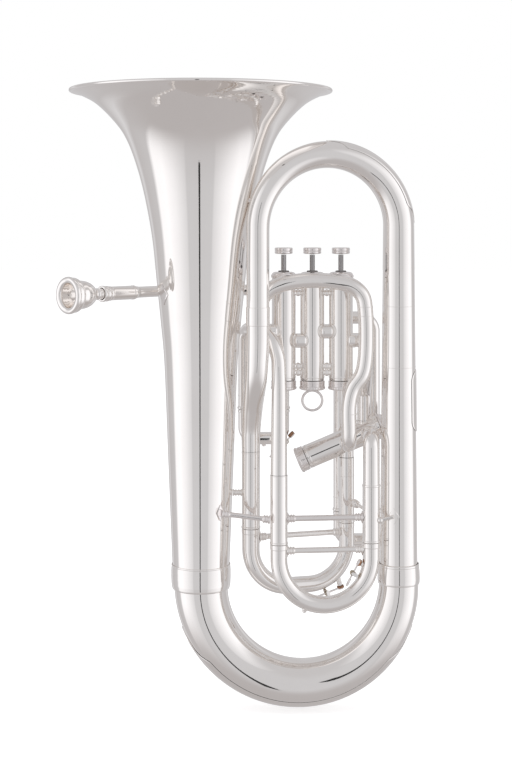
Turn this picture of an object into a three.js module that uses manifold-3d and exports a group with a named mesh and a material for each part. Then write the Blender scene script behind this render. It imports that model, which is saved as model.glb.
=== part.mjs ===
// Upright compensating euphonium, the tenor tuba. Millimetres, +Z up.
// The origin is the lowest point of the bottom bow. +X runs from the bell to the outer branch,
// the valves' buttons point up, and -Y is the side that the mouthpiece leans to.

import * as THREE from "three";
import { mergeVertices } from "three/addons/utils/BufferGeometryUtils.js";
import Module from "manifold-3d";

const wasm = await Module();
wasm.setup();

// ---------------------------------------------------------------- driving dimensions

const WALL = 0.8; // sheet and tube wall
const GAP = 0.3; // clearance between neighbouring pieces

const BOW_R = 114.65; // bend radius of the bottom bow's centre line
const BOW_Z = 142.95; // height of the bottom bow's bend centre
const BELL_X = -BOW_R;
const BRANCH_X = BOW_R;
const BOW_BELL_R = 31.2; // bottom bow's tube radius at the bell side
const BOW_BRANCH_R = 22.6; // and at the branch side

const RIM_R = 152.5;
const RIM_Z = 715.6;
const BEAD_R = 1.9; // rolled wire of the bell rim
const BELL_JOINT_Z = 151; // the bell meets the bottom bow inside its ferrule
// outer radius and height of the bell wall, from the ferrule up to the rim bead
const BELL_WALL = [
  [32.6, BELL_JOINT_Z + GAP],
  [37.9, 285],
  [42.3, 396],
  [46.6, 446],
  [51, 489],
  [56.2, 541],
  [64.5, 588],
  [74.2, 625.6],
  [85.8, 656.5],
  [99.4, 677],
  [122.6, 699.6],
  [147.6, 712.4],
];

const BRANCH_JOINT_Z = 154;
const HAND_GUARD_LOW_Z = 319;
const HAND_GUARD_TOP_Z = 391;
const BRANCH_LOW_R = 21.9;
const BRANCH_TOP_R = 18;
const TOP_BOW_Z = 556; // height of the top bow's bend centre
const BOW_END = 4; // straight end of the top bow below that

const INNER_X = -48.65; // inner branch, in front of the bell flare
const INNER_Y = -35;
const INNER_R = 13;
const INNER_JOINT_Z = 454.5;

// main tuning slide, the rear crook
const MAIN_LEFT = { x: -56.8, y: 0, r: 10.6 };
const MAIN_RIGHT = { x: 56.35, y: 34, r: 9 };
const MAIN_SLEEVE_Z = 207; // lower end of both sleeves
const MAIN_LEFT_TOP_Z = 296;
const MAIN_CROOK_Z = 137; // lowest point of the crook's centre line
const MAIN_BEND_R = 46;

// fourth valve slide, the front crook
const FOURTH_LEFT = { x: -24.65, y: -25.5, r: 9.9 };
const FOURTH_RIGHT = { x: 81.6, y: -15, r: 10.1 };
const FOURTH_SLEEVE_Z = 194;
const FOURTH_LEFT_TOP_Z = 273;
const FOURTH_RIGHT_TOP_Z = 259;
const FOURTH_CROOK_Z = 123;

// valves
const VALVE_PITCH = 33.4;
const VALVE_X = [14.9 - VALVE_PITCH, 14.9, 14.9 + VALVE_PITCH];
const VALVE_Y = 12;
const CASING_R = 14;
const BORE_R = 12.6;
const CASING_LOW_Z = 377.4;
const CASING_TOP_Z = 496.4;
const CAP_R = 14.9;
const TOP_CAP_H = 7;
const BOTTOM_CAP_H = 11;
const PISTON_LENGTH = 85;
const PISTON_WALL = 2.2;
const VENT_R = 3;
const WINDWAY_R = 5.85;
const STEM_R = 3;
const STEM_OUT = 20; // stem seen between the top cap and the button
const BUTTON_R = 10.5;
const BUTTON_H = 8.4;
const PORT_R = 8.25;

// fourth valve, on its slant behind the branch
const FOURTH_VALVE_FOOT = new THREE.Vector3(-1.65, 34, 279);
const FOURTH_VALVE_TILT = THREE.MathUtils.degToRad(23);
const FOURTH_VALVE_AXIS = new THREE.Vector3(Math.cos(FOURTH_VALVE_TILT), 0, Math.sin(FOURTH_VALVE_TILT));
const FOURTH_CASING_LENGTH = 94;
const FOURTH_PISTON_LENGTH = 64;

// heights of the windways and loops on the backs and sides of the casings
const KNUCKLE_LOW_Z = 424;
const KNUCKLE_HIGH_Z = 434.8;
const LEADPIPE_Z = 480;
const STUB_Y = 29; // where the back stubs end

const SMALL_SLIDE_R = 7.5; // outer tubes of the first, second and third slides
const FIRST_SLIDE = { left: -64.6, right: -18.5, y: 55, sleeve: 338, crook: 303 };
const THIRD_SLIDE = { left: 49.4, right: 90, y: 58, sleeve: 216, crook: 181 };
const SECOND_SLIDE = { low: 396, high: 420, sleeve: 50, crook: 67 };

// leadpipe and mouthpiece, in the plane z = LEADPIPE_Z
const LEADPIPE_R = 6.5;
const LEADPIPE_WRAP_R = 58; // round the back of the bell
const MOUTHPIECE_REACH = 151.3; // from the rim to where the pipe starts to wrap

// ---------------------------------------------------------------- geometry helpers

const at = (x, y, z) => new THREE.Vector3(x, y, z);
const UP = at(0, 0, 1);

// One closed body with shared corners and its faces pointing out.
function tidy(geometry) {
  const bare = geometry.clone();
  bare.deleteAttribute("normal");
  bare.deleteAttribute("uv");
  const merged = mergeVertices(bare, 1e-4);
  const corner = (i) => new THREE.Vector3().fromBufferAttribute(merged.attributes.position, i);
  const kept = [];
  let volume = 0;
  for (let i = 0; i < merged.index.count; i += 3) {
    const [a, b, c] = [0, 1, 2].map((k) => merged.index.getX(i + k));
    if (a === b || b === c || c === a) continue;
    kept.push(a, b, c);
    volume += corner(a).dot(corner(b).cross(corner(c)));
  }
  if (volume < 0) kept.reverse();
  merged.setIndex(kept);
  return merged;
}

function toSolid(geometry) {
  const clean = tidy(geometry);
  const vertProperties = new Float32Array(clean.attributes.position.array);
  const triVerts = new Uint32Array(clean.index.array);
  return new wasm.Manifold(new wasm.Mesh({ numProp: 3, vertProperties, triVerts }));
}

function toGeometry(solid) {
  const mesh = solid.getMesh();
  const geometry = new THREE.BufferGeometry();
  geometry.setAttribute("position", new THREE.BufferAttribute(mesh.vertProperties, 3));
  geometry.setIndex(new THREE.BufferAttribute(mesh.triVerts, 1));
  return geometry;
}

// Joins the first list of shapes and cuts the second list out of them.
function combine(joined, cut = []) {
  let solid = toSolid(joined[0]);
  for (const shape of joined.slice(1)) solid = solid.add(toSolid(shape));
  for (const shape of cut) solid = solid.subtract(toSolid(shape));
  return toGeometry(solid);
}

// Moves a shape built along +Z so that it stands at a point and along an axis.
function stand(geometry, point, axis = UP) {
  const turn = new THREE.Quaternion().setFromUnitVectors(UP, axis);
  return geometry.applyQuaternion(turn).translate(point.x, point.y, point.z);
}

// Turns an outline of [radius, height] pairs about +Z.
function turned(outline, sides = 12) {
  const points = outline.map(([r, z]) => new THREE.Vector2(r, z));
  const onAxis = outline[0][0] === 0;
  if (!onAxis) points.push(points[0].clone());
  return new THREE.LatheGeometry(points, sides).rotateX(Math.PI / 2);
}

function rod(from, to, r, sides = 8) {
  const length = from.distanceTo(to);
  const axis = to.clone().sub(from).normalize();
  return stand(turned([[0, 0], [r, 0], [r, length], [0, length]], sides), from, axis);
}

// Corner points joined by straight runs, each inner corner rounded to its bend radius.
function route(corners, bends, steps = 3) {
  const points = [corners[0]];
  for (let i = 1; i < corners.length - 1; i++) {
    const bend = Array.isArray(bends) ? bends[i - 1] : bends;
    const back = corners[i - 1].clone().sub(corners[i]).normalize();
    const ahead = corners[i + 1].clone().sub(corners[i]).normalize();
    const half = back.angleTo(ahead) / 2;
    const middle = back.clone().add(ahead).normalize();
    const centre = corners[i].clone().addScaledVector(middle, bend / Math.sin(half));
    const start = corners[i].clone().addScaledVector(back, bend / Math.tan(half)).sub(centre);
    const axis = back.clone().cross(start).normalize();
    for (let k = 0; k <= steps; k++) {
      const turn = ((Math.PI - 2 * half) * k) / steps;
      points.push(start.clone().applyAxisAngle(axis, turn).add(centre));
    }
  }
  points.push(corners[corners.length - 1]);
  return points.filter((point, i) => i === 0 || point.distanceTo(points[i - 1]) > 0.01);
}

// A frame at each point of a path: its tangent, a side direction and the share of its length.
function frames(points, normal) {
  const heading = points[1].clone().sub(points[0]).normalize();
  let side = Math.abs(heading.dot(normal)) > 0.99 ? at(1, 0, 0) : normal.clone();
  let run = 0;
  const stations = points.map((point, i) => {
    const before = points[Math.max(i - 1, 0)];
    const after = points[Math.min(i + 1, points.length - 1)];
    const ahead = after.clone().sub(point).normalize();
    const tangent = point.clone().sub(before).normalize().add(ahead).normalize();
    side = side.clone().addScaledVector(tangent, -side.dot(tangent)).normalize();
    run += point.distanceTo(before);
    return { point, side, over: tangent.clone().cross(side), run };
  });
  for (const station of stations) station.share = station.run / run;
  return stations;
}

function build(corners, faces) {
  const geometry = new THREE.BufferGeometry();
  const numbers = corners.flatMap((p) => p.toArray());
  geometry.setAttribute("position", new THREE.Float32BufferAttribute(numbers, 3));
  geometry.setIndex(faces);
  return geometry;
}

// A tube along points. radius is a number or a function of the share of the length run.
// A wall of 0 makes it solid.
function pipe(points, radius, { wall = WALL, sides = 8, normal = at(0, 1, 0) } = {}) {
  const stations = frames(points, normal);
  const corners = [];
  const faces = [];
  const radiusAt = typeof radius === "number" ? () => radius : radius;
  const layer = (inset) => {
    const first = corners.length;
    for (const { point, side, over, share } of stations) {
      const r = radiusAt(share) - inset;
      for (let k = 0; k < sides; k++) {
        const angle = (2 * Math.PI * k) / sides;
        const spoke = side.clone().multiplyScalar(r * Math.cos(angle));
        corners.push(spoke.addScaledVector(over, r * Math.sin(angle)).add(point));
      }
    }
    return (i, k) => first + i * sides + (k % sides);
  };
  const outer = layer(0);
  const inner = wall > 0 ? layer(wall) : null;
  const last = stations.length - 1;
  for (let i = 0; i < last; i++) {
    for (let k = 0; k < sides; k++) {
      faces.push(outer(i, k), outer(i, k + 1), outer(i + 1, k + 1));
      faces.push(outer(i, k), outer(i + 1, k + 1), outer(i + 1, k));
      if (!inner) continue;
      faces.push(inner(i, k), inner(i + 1, k + 1), inner(i, k + 1));
      faces.push(inner(i, k), inner(i + 1, k), inner(i + 1, k + 1));
    }
  }
  for (const [i, flip] of [[0, true], [last, false]]) {
    const centre = corners.length;
    if (!inner) corners.push(stations[i].point.clone());
    for (let k = 0; k < sides; k++) {
      const rim = [outer(i, k), outer(i, k + 1)];
      const made = inner
        ? [[rim[0], rim[1], inner(i, k + 1)], [rim[0], inner(i, k + 1), inner(i, k)]]
        : [[rim[0], rim[1], centre]];
      for (const face of made) faces.push(...(flip ? face.reverse() : face));
    }
  }
  return build(corners, faces);
}

// A thin plate wrapped round part of a tube. It shares the tube's facets, so the gap stays even.
function wrapPlate(points, radius, { normal, facet, reach, thickness = WALL }) {
  const across = 2 * reach;
  const stations = frames(points, normal);
  const grid = (lift) => stations.map(({ point, side, over, share }) => {
    const r = radius(share) + lift;
    return Array.from({ length: across + 1 }, (_, k) => {
      const angle = facet * (k - reach) - Math.PI / 2;
      const spoke = side.clone().multiplyScalar(r * Math.cos(angle));
      return spoke.addScaledVector(over, r * Math.sin(angle)).add(point);
    });
  });
  const outer = grid(GAP + thickness);
  const inner = grid(GAP);
  const columns = across + 1;
  const corners = [...outer.flat(), ...inner.flat()];
  const top = (i, k) => i * columns + k;
  const under = (i, k) => outer.length * columns + top(i, k);
  const faces = [];
  const quad = (a, b, c, d) => faces.push(a, b, c, a, c, d);
  for (let i = 0; i < outer.length - 1; i++) {
    for (let k = 0; k < across; k++) {
      quad(top(i, k), top(i, k + 1), top(i + 1, k + 1), top(i + 1, k));
      quad(under(i, k), under(i + 1, k), under(i + 1, k + 1), under(i, k + 1));
    }
    quad(top(i, 0), top(i + 1, 0), under(i + 1, 0), under(i, 0));
    quad(top(i, across), under(i, across), under(i + 1, across), top(i + 1, across));
  }
  const end = outer.length - 1;
  for (let k = 0; k < across; k++) {
    quad(top(0, k), under(0, k), under(0, k + 1), top(0, k + 1));
    quad(top(end, k), top(end, k + 1), under(end, k + 1), under(end, k));
  }
  return build(corners, faces);
}

// A stay between two points, with a flange and two beads at each end.
function stay(from, to, r = 2.4) {
  const length = from.distanceTo(to);
  const squeeze = Math.min(1, length / 13);
  const half = [[0, 0], [5.2, 0], [5.2, 1.4], [3, 2.2], [4.2, 3.8], [r, 5.8]]
    .map(([radius, z]) => [radius, z * squeeze]);
  const other = half.map(([radius, z]) => [radius, length - z]).reverse();
  const axis = to.clone().sub(from).normalize();
  return stand(turned([...half, ...other], 8), from, axis);
}

// ---------------------------------------------------------------- materials and assembly

const LOOKS = {
  silver: { color: 0xe4e2dd, roughness: 0.12, metalness: 1 },
  steel: { color: 0x6d6f73, roughness: 0.3, metalness: 1 },
  spring: { color: 0x9a8f78, roughness: 0.35, metalness: 1 },
};

const euphonium = new THREE.Group();

function add(name, geometry, look = "silver") {
  const clean = tidy(geometry);
  clean.computeVertexNormals();
  const mesh = new THREE.Mesh(clean, new THREE.MeshStandardMaterial(LOOKS[look]));
  mesh.name = name;
  euphonium.add(mesh);
}

const linear = (from, to) => (share) => from + (to - from) * share;

// ---------------------------------------------------------------- bell and bows

function bell() {
  const spline = new THREE.SplineCurve(BELL_WALL.map(([r, z]) => new THREE.Vector2(r, z)));
  const steps = 10;
  const outside = [];
  const inside = [];
  for (let i = 0; i <= steps; i++) {
    const share = i / steps;
    const point = spline.getPoint(share);
    const tangent = spline.getTangent(share);
    outside.push([point.x, point.y]);
    inside.unshift([point.x - WALL * tangent.y, point.y + WALL * tangent.x]);
  }
  const bead = [];
  for (let degrees = -120; degrees <= 90; degrees += 70) {
    const angle = THREE.MathUtils.degToRad(degrees);
    bead.push([RIM_R - BEAD_R + BEAD_R * Math.cos(angle), RIM_Z - BEAD_R + BEAD_R * Math.sin(angle)]);
  }
  const flatInner = [RIM_R - 2 * BEAD_R - 0.4, RIM_Z];
  return turned([...outside, ...bead, flatInner, ...inside], 24);
}

function bottomBowPath(steps = 10) {
  const points = [at(BELL_X, 0, BELL_JOINT_Z - GAP)];
  for (let i = 0; i <= steps; i++) {
    const angle = Math.PI + (Math.PI * i) / steps;
    points.push(at(BOW_R * Math.cos(angle), 0, BOW_Z + BOW_R * Math.sin(angle)));
  }
  points.push(at(BRANCH_X, 0, BRANCH_JOINT_Z - GAP));
  return points;
}

// the part of a half-circle bow between two angles, in the upright plane through two points
function bowArc(left, right, z, fromDegrees, toDegrees, steps) {
  const middle = left.clone().add(right).multiplyScalar(0.5);
  const arm = right.clone().sub(left).multiplyScalar(0.5);
  return Array.from({ length: steps + 1 }, (_, i) => {
    const angle = THREE.MathUtils.degToRad(fromDegrees + ((toDegrees - fromDegrees) * i) / steps);
    const point = middle.clone().addScaledVector(arm, Math.cos(angle));
    return point.setZ(z + arm.length() * Math.sin(angle));
  });
}

const innerFoot = at(INNER_X, INNER_Y, 0);
const branchFoot = at(BRANCH_X, 0, 0);
const topBowNormal = branchFoot.clone().sub(innerFoot).cross(UP).normalize();

add("bell", stand(bell(), at(BELL_X, 0, 0)));

add("bell_ferrule", stand(turned([
  [32.6, 137.6], [33.8, 140.4], [34.2, BELL_JOINT_Z], [34.3, 163], [33.9, 166],
  [33.5, 166], [33.05, BELL_JOINT_Z], [32.15, 137.6],
], 24), at(BELL_X, 0, 0)));

add("bottom_bow", pipe(bottomBowPath(), linear(BOW_BELL_R, BOW_BRANCH_R), { sides: 16 }));

const guardShare = (fromDegrees, toDegrees, share) => (fromDegrees + (toDegrees - fromDegrees) * share) / 180;
add("bottom_bow_guard", wrapPlate(
  bowArc(at(BELL_X, 0, 0), at(BRANCH_X, 0, 0), BOW_Z, 198, 342, 8),
  (share) => linear(BOW_BELL_R, BOW_BRANCH_R)(guardShare(18, 162, share)) + 0.3,
  { normal: at(0, 1, 0), facet: Math.PI / 8, reach: 3 },
));

add("branch_ferrule", stand(turned([
  [23.5, 143.2], [23.9, 145.2], [23.7, 164], [23.1, 167], [22.3, 167], [22.5, 155], [23.2, 153], [23.3, 143.2],
], 16), branchFoot));

add("outer_branch", pipe(
  [at(BRANCH_X, 0, BRANCH_JOINT_Z + GAP), at(BRANCH_X, 0, TOP_BOW_Z - BOW_END - GAP)],
  linear(BRANCH_LOW_R, BRANCH_TOP_R), { sides: 16 },
));

const { mapLinear } = THREE.MathUtils;
const branchRadiusAt = (z) => mapLinear(z, BRANCH_JOINT_Z, TOP_BOW_Z, BRANCH_LOW_R, BRANCH_TOP_R);
const handGuardZ = (share) => mapLinear(share, 0, 1, HAND_GUARD_LOW_Z, HAND_GUARD_TOP_Z);
add("hand_guard", wrapPlate(
  [0, 0.25, 0.5, 0.75, 1].map((share) => at(BRANCH_X, 0, handGuardZ(share))),
  (share) => branchRadiusAt(handGuardZ(share)) + 0.35,
  { normal: at(0, 1, 0), facet: Math.PI / 8, reach: 3 },
));

add("top_bow", pipe(
  [
    innerFoot.clone().setZ(TOP_BOW_Z - BOW_END),
    ...bowArc(innerFoot, branchFoot, TOP_BOW_Z, 180, 0, 10),
    branchFoot.clone().setZ(TOP_BOW_Z - BOW_END),
  ],
  linear(INNER_R, BRANCH_TOP_R), { sides: 12, normal: topBowNormal },
));

add("top_bow_guard", wrapPlate(
  bowArc(innerFoot, branchFoot, TOP_BOW_Z, 90, 0, 5),
  (share) => linear(INNER_R, BRANCH_TOP_R)(guardShare(90, 180, share)) + 0.4,
  { normal: topBowNormal, facet: Math.PI / 6, reach: 2 },
));

add("inner_branch", pipe(
  [at(INNER_X, INNER_Y, TOP_BOW_Z - BOW_END - GAP), at(INNER_X, INNER_Y, INNER_JOINT_Z + GAP)],
  INNER_R, { sides: 12 },
));

add("inner_branch_ferrule", stand(turned([
  [13.6, 444], [14.2, 446], [14.2, 463], [13.6, 465], [13.45, 465], [13.45, 444],
], 12), innerFoot));

// ---------------------------------------------------------------- main tuning slide

const UNDER_FOURTH_CASING = 20; // from the fourth valve's axis straight down to the sleeve's end
const onFourthAxis = (x) => {
  const along = (x - FOURTH_VALVE_FOOT.x) / FOURTH_VALVE_AXIS.x;
  return FOURTH_VALVE_FOOT.clone().addScaledVector(FOURTH_VALVE_AXIS, along);
};

function legs(left, right) {
  const across = at(right.x - left.x, right.y - left.y, 0);
  return { across, width: across.length(), normal: across.clone().cross(UP).normalize() };
}

// A slide's outer tube, open at both ends, with a bead at its lower end.
function sleeve({ x, y, r }, low, high, normal, extras = []) {
  const outside = pipe([at(x, y, low), at(x, y, high)], r, { wall: 0, sides: 10, normal });
  const bead = pipe([at(x, y, low), at(x, y, low + 3.2)], r + 1.3, { wall: 0, sides: 10, normal });
  const bore = pipe([at(x, y, low - 1), at(x, y, high + 1)], r - WALL, { wall: 0, sides: 10, normal });
  return combine([outside, bead, ...extras], [bore]);
}

// A slide: two legs that run up inside their sleeves, and the crook that joins them.
// The legs keep GAP of play in the sleeves; the crook is as wide as the sleeves.
function crook(left, right, { shoulder, legTop, bottom, bend, extras = [] }) {
  const { normal } = legs(left, right);
  const options = { wall: 0, sides: 10, normal };
  const path = (z) => route(
    [at(left.x, left.y, z), at(left.x, left.y, bottom), at(right.x, right.y, bottom), at(right.x, right.y, z)],
    bend, 4,
  );
  const wide = pipe(path(shoulder), linear(left.r - 0.2, right.r - 0.2), options);
  const wideBore = pipe(path(shoulder + 1), linear(left.r - 2, right.r - 2), options);
  const leg = ({ x, y, r }) => pipe([at(x, y, shoulder - 4), at(x, y, legTop)], r - WALL - GAP, options);
  const legBore = ({ x, y, r }) => pipe([at(x, y, shoulder - 4), at(x, y, legTop + 1)], r - 2, options);
  return combine([wide, leg(left), leg(right), ...extras], [wideBore, legBore(left), legBore(right)]);
}

const mainLegs = legs(MAIN_LEFT, MAIN_RIGHT);
const mainAlong = mainLegs.across.clone().normalize();

// S-bend from the inner branch back to the left sleeve, narrowing on the way
const leadStations = [
  [INNER_X, INNER_Y, INNER_JOINT_Z - GAP, 13],
  [INNER_X, INNER_Y, 422, 12.9],
  [-50.4, -29, 386, 12.4],
  [-55, -9, 346, 11.7],
  [MAIN_LEFT.x, MAIN_LEFT.y, 318, 11],
  [MAIN_LEFT.x, MAIN_LEFT.y, 306, 10.8],
  [MAIN_LEFT.x, MAIN_LEFT.y, MAIN_LEFT_TOP_Z + GAP, 10.6],
];

// A tube through stations of [x, y, z, radius].
function stationPipe(stations, steps, options) {
  const curve = new THREE.CatmullRomCurve3(stations.map(([x, y, z]) => at(x, y, z)), false, "centripetal");
  const points = [];
  const radii = [];
  for (let i = 0; i <= steps; i++) {
    const place = (i / steps) * (stations.length - 1);
    const index = Math.min(Math.floor(place), stations.length - 2);
    points.push(curve.getPoint(i / steps));
    radii.push(THREE.MathUtils.lerp(stations[index][3], stations[index + 1][3], place - index));
  }
  const shares = frames(points, at(0, 1, 0)).map((station) => station.share);
  const radius = (share) => radii[shares.indexOf(share)];
  return pipe(points, radius, options);
}

add("slide_lead_tube", stationPipe(leadStations, 10, { sides: 12 }));

const BELL_STAY_Z = 248;
const bellRadiusNear = (z) => mapLinear(z, BELL_JOINT_Z, 396, 32.6, 42.3);
const towardsBell = at(BELL_X - MAIN_LEFT.x, -MAIN_LEFT.y, 0).normalize();
const bellStayRoot = at(MAIN_LEFT.x, MAIN_LEFT.y, BELL_STAY_Z).addScaledVector(towardsBell, MAIN_LEFT.r - 0.6);
const bellStayTip = at(BELL_X, 0, BELL_STAY_Z).addScaledVector(towardsBell, -bellRadiusNear(BELL_STAY_Z) - 0.5);
add("main_slide_sleeve_left", sleeve(
  MAIN_LEFT, MAIN_SLEEVE_Z, MAIN_LEFT_TOP_Z, mainLegs.normal, [stay(bellStayRoot, bellStayTip)],
));

add("main_slide_sleeve_right", sleeve(
  MAIN_RIGHT, MAIN_SLEEVE_Z, onFourthAxis(MAIN_RIGHT.x).z - UNDER_FOURTH_CASING, mainLegs.normal,
));

// a level direction turned upwards by an angle
function tilted(level, angle) {
  return level.clone().multiplyScalar(Math.cos(angle)).addScaledVector(UP, Math.sin(angle));
}

// The main water key hangs below the crook, level with a nipple that it closes. offset runs along
// the crook from its middle and drop runs down from its centre line, both to the hinge.
const CUP_LIFT = 3;
const MAIN_KEY = { offset: 34.6, drop: 12.7, reach: 18, tail: 18, tilt: THREE.MathUtils.degToRad(17) };
const mainCrookMiddle = at((MAIN_LEFT.x + MAIN_RIGHT.x) / 2, (MAIN_LEFT.y + MAIN_RIGHT.y) / 2, MAIN_CROOK_Z);
const mainKeyHinge = mainCrookMiddle.clone()
  .addScaledVector(mainAlong, MAIN_KEY.offset)
  .addScaledVector(UP, -MAIN_KEY.drop);
const mainKeyAlong = tilted(mainAlong, MAIN_KEY.tilt);
const mainKeyFace = tilted(mainAlong, MAIN_KEY.tilt + Math.PI / 2);
const mainCup = mainKeyHinge.clone().addScaledVector(mainKeyAlong, MAIN_KEY.reach);
const mainNipple = rod(
  mainCup.clone().addScaledVector(mainKeyFace, CUP_LIFT + GAP),
  mainCup.clone().addScaledVector(mainKeyFace, 13),
  3,
);

const MAIN_STAY_Z = 196;
const mainStay = stay(
  at(MAIN_LEFT.x, MAIN_LEFT.y, MAIN_STAY_Z).addScaledVector(mainAlong, MAIN_LEFT.r - 0.8),
  at(MAIN_RIGHT.x, MAIN_RIGHT.y, MAIN_STAY_Z).addScaledVector(mainAlong, 0.8 - MAIN_RIGHT.r),
);
add("main_tuning_slide", crook(MAIN_LEFT, MAIN_RIGHT, {
  shoulder: MAIN_SLEEVE_Z - 0.5,
  legTop: 274,
  bottom: MAIN_CROOK_Z,
  bend: MAIN_BEND_R,
  extras: [mainStay, mainNipple],
}));

// A water key: a lever with a round cup at one end, a hinge barrel and a finger plate at the other.
// It is built with its barrel at the origin, its cup towards +X and its face towards +Z.
function waterKey({ reach, tail, cupLift }) {
  const barrel = rod(at(0, -4.5, 0), at(0, 4.5, 0), 2.2, 8);
  const arm = new THREE.BoxGeometry(reach + tail, 3.2, 1.6).translate((reach - tail) / 2, 0, 0);
  const cup = turned([[0, -0.8], [3.4, -0.8], [4.4, 0.6], [4.4, cupLift], [0, cupLift]], 8);
  const plate = new THREE.CylinderGeometry(4.2, 4.2, 1.6, 8).rotateX(Math.PI / 2).translate(-tail, 0, 0);
  return combine([arm, barrel, cup.translate(reach, 0, 0), plate]);
}

// Places a key by its hinge point, the direction of its cup and the direction that its face points.
function placeKey(geometry, hinge, along, face) {
  const basis = new THREE.Matrix4().makeBasis(along, face.clone().cross(along), face);
  return geometry.applyMatrix4(basis.setPosition(hinge));
}

add("main_water_key", placeKey(
  waterKey({ ...MAIN_KEY, cupLift: CUP_LIFT }), mainKeyHinge, mainKeyAlong, mainKeyFace,
));

// ---------------------------------------------------------------- valves

// A loop that leaves a casing's back at one height and comes back at another.
function backLoop(x, high, low, r, reach) {
  const corners = [
    at(x, VALVE_Y + BORE_R - 2, high), at(x, reach, high), at(x, reach, low), at(x, VALVE_Y + BORE_R - 2, low),
  ];
  const path = route(corners, (high - low) / 2 - 0.05, 3);
  const options = { wall: 0, sides: 6, normal: at(1, 0, 0) };
  return { outer: pipe(path, r, options), bore: pipe(path, r - WALL, options) };
}

function stub(from, to, r) {
  return { outer: rod(from, to, r), bore: rod(from, to.clone().lerp(from, -0.1), r - WALL) };
}

const backStub = (x, z, r, end = STUB_Y) => stub(at(x, VALVE_Y, z), at(x, end, z), r);
const sideStub = (x, z, reach) => stub(at(x, VALVE_Y, z), at(x + reach, VALVE_Y, z), PORT_R);

function casing(x, fittings, neighbours = []) {
  const body = rod(at(x, VALVE_Y, CASING_LOW_Z), at(x, VALVE_Y, CASING_TOP_Z), CASING_R, 16);
  const bore = rod(at(x, VALVE_Y, CASING_LOW_Z - 1), at(x, VALVE_Y, CASING_TOP_Z + 1), BORE_R, 16);
  const clearance = neighbours.map((other) => rod(
    at(other, VALVE_Y, CASING_LOW_Z - 1), at(other, VALVE_Y, CASING_TOP_Z + 1), CASING_R + GAP + 0.1, 16,
  ));
  return combine(
    [body, ...fittings.map((fitting) => fitting.outer)],
    [bore, ...fittings.map((fitting) => fitting.bore), ...clearance],
  );
}

const [x1, x2, x3] = VALVE_X;
add("valve_casing_1", casing(x1, [
  sideStub(x1, KNUCKLE_HIGH_Z, -18),
  sideStub(x1, KNUCKLE_LOW_Z, VALVE_PITCH - BORE_R),
  backStub(x1, LEADPIPE_Z, LEADPIPE_R + 0.6),
  backLoop(x1, 460, 436, 5.5, 43),
  backStub(x1, 408, SMALL_SLIDE_R),
], [x2]));
add("valve_casing_2", casing(x2, [
  sideStub(x2, KNUCKLE_HIGH_Z, VALVE_PITCH - BORE_R),
  backLoop(x2, 472, 448, 5.5, 43),
  backStub(x2, SECOND_SLIDE.high, SMALL_SLIDE_R, SECOND_SLIDE.sleeve),
  backStub(x2, SECOND_SLIDE.low, SMALL_SLIDE_R, SECOND_SLIDE.sleeve),
], [x3]));
add("valve_casing_3", casing(x3, [
  sideStub(x3, KNUCKLE_LOW_Z, 15.5),
  backLoop(x3, 486, 466, 5.5, 43),
  backStub(x3, 447, SMALL_SLIDE_R),
  backStub(x3, 400, SMALL_SLIDE_R),
]));

// outlines of the valve furniture, each from its own foot upwards
const topCap = () => turned([
  [STEM_R + GAP, 0], [CAP_R, 0], [CAP_R, 3.2], [CAP_R - 1.6, TOP_CAP_H - 0.6],
  [CAP_R - 4, TOP_CAP_H], [STEM_R + GAP, TOP_CAP_H],
]);
const bottomCap = () => turned([
  [2, 0], [13, 0], [CAP_R + 0.6, 2.8], [CAP_R + 0.6, 4.4], [CAP_R - 0.4, 5],
  [CAP_R - 0.4, BOTTOM_CAP_H], [BORE_R, BOTTOM_CAP_H], [BORE_R, 3], [2, 3],
]);
const button = () => turned([
  [0, 0], [4, 0], [4.4, 2.4], [BUTTON_R - 0.4, 4.4], [BUTTON_R, 6],
  [BUTTON_R - 0.8, BUTTON_H], [0, BUTTON_H - 0.6],
]);

// The hollow piston with its stem. A windway tube runs across it at the height of a knuckle, and
// the floor has a round vent.
function piston(length, stemLength, windway) {
  const r = BORE_R - GAP;
  const top = length + stemLength;
  const body = turned([
    [VENT_R, 0], [r, 0], [r, length], [STEM_R, length], [STEM_R, top], [0, top],
    [0, length - 2], [r - PISTON_WALL, length - 2], [r - PISTON_WALL, 2], [VENT_R, 2],
  ], 16);
  const across = (reach, radius) => rod(at(-reach, 0, windway), at(reach, 0, windway), radius);
  return combine([body, across(r - 2, WINDWAY_R + WALL)], [across(r + 1, WINDWAY_R)]);
}

function spring(length) {
  const turns = 4;
  const steps = 6;
  const coilR = 8;
  const wireR = 0.8;
  const points = Array.from({ length: turns * steps + 1 }, (_, i) => {
    const angle = (2 * Math.PI * i) / steps;
    const z = wireR + ((length - 2 * wireR) * i) / (turns * steps);
    return at(coilR * Math.cos(angle), coilR * Math.sin(angle), z);
  });
  return pipe(points, wireR, { wall: 0, sides: 3, normal: UP });
}

const PISTON_TOP_PLAY = 3;
const SPRING_FLOOR = 3.5; // the spring stands on the floor of the bottom cap

// Everything of one valve that is turned about its axis. The foot is the end of the bottom cap.
function furnish(number, { foot, axis, casingLength, pistonLength, windway }) {
  const along = (distance) => foot.clone().addScaledVector(axis, distance);
  const casingTop = BOTTOM_CAP_H + 2 * GAP + casingLength;
  const pistonFoot = casingTop - PISTON_TOP_PLAY - pistonLength;
  const buttonFoot = casingTop + GAP + TOP_CAP_H + STEM_OUT;
  const stemLength = buttonFoot - GAP - (pistonFoot + pistonLength);
  const body = piston(pistonLength, stemLength, windway);
  add(`bottom_cap_${number}`, stand(bottomCap(), foot, axis));
  add(`top_cap_${number}`, stand(topCap(), along(casingTop + GAP), axis));
  add(`piston_${number}`, stand(body, along(pistonFoot), axis), "steel");
  add(`spring_${number}`, stand(spring(pistonFoot - SPRING_FLOOR - 1), along(SPRING_FLOOR), axis), "spring");
  add(`button_${number}`, stand(button(), along(buttonFoot), axis));
}

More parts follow.
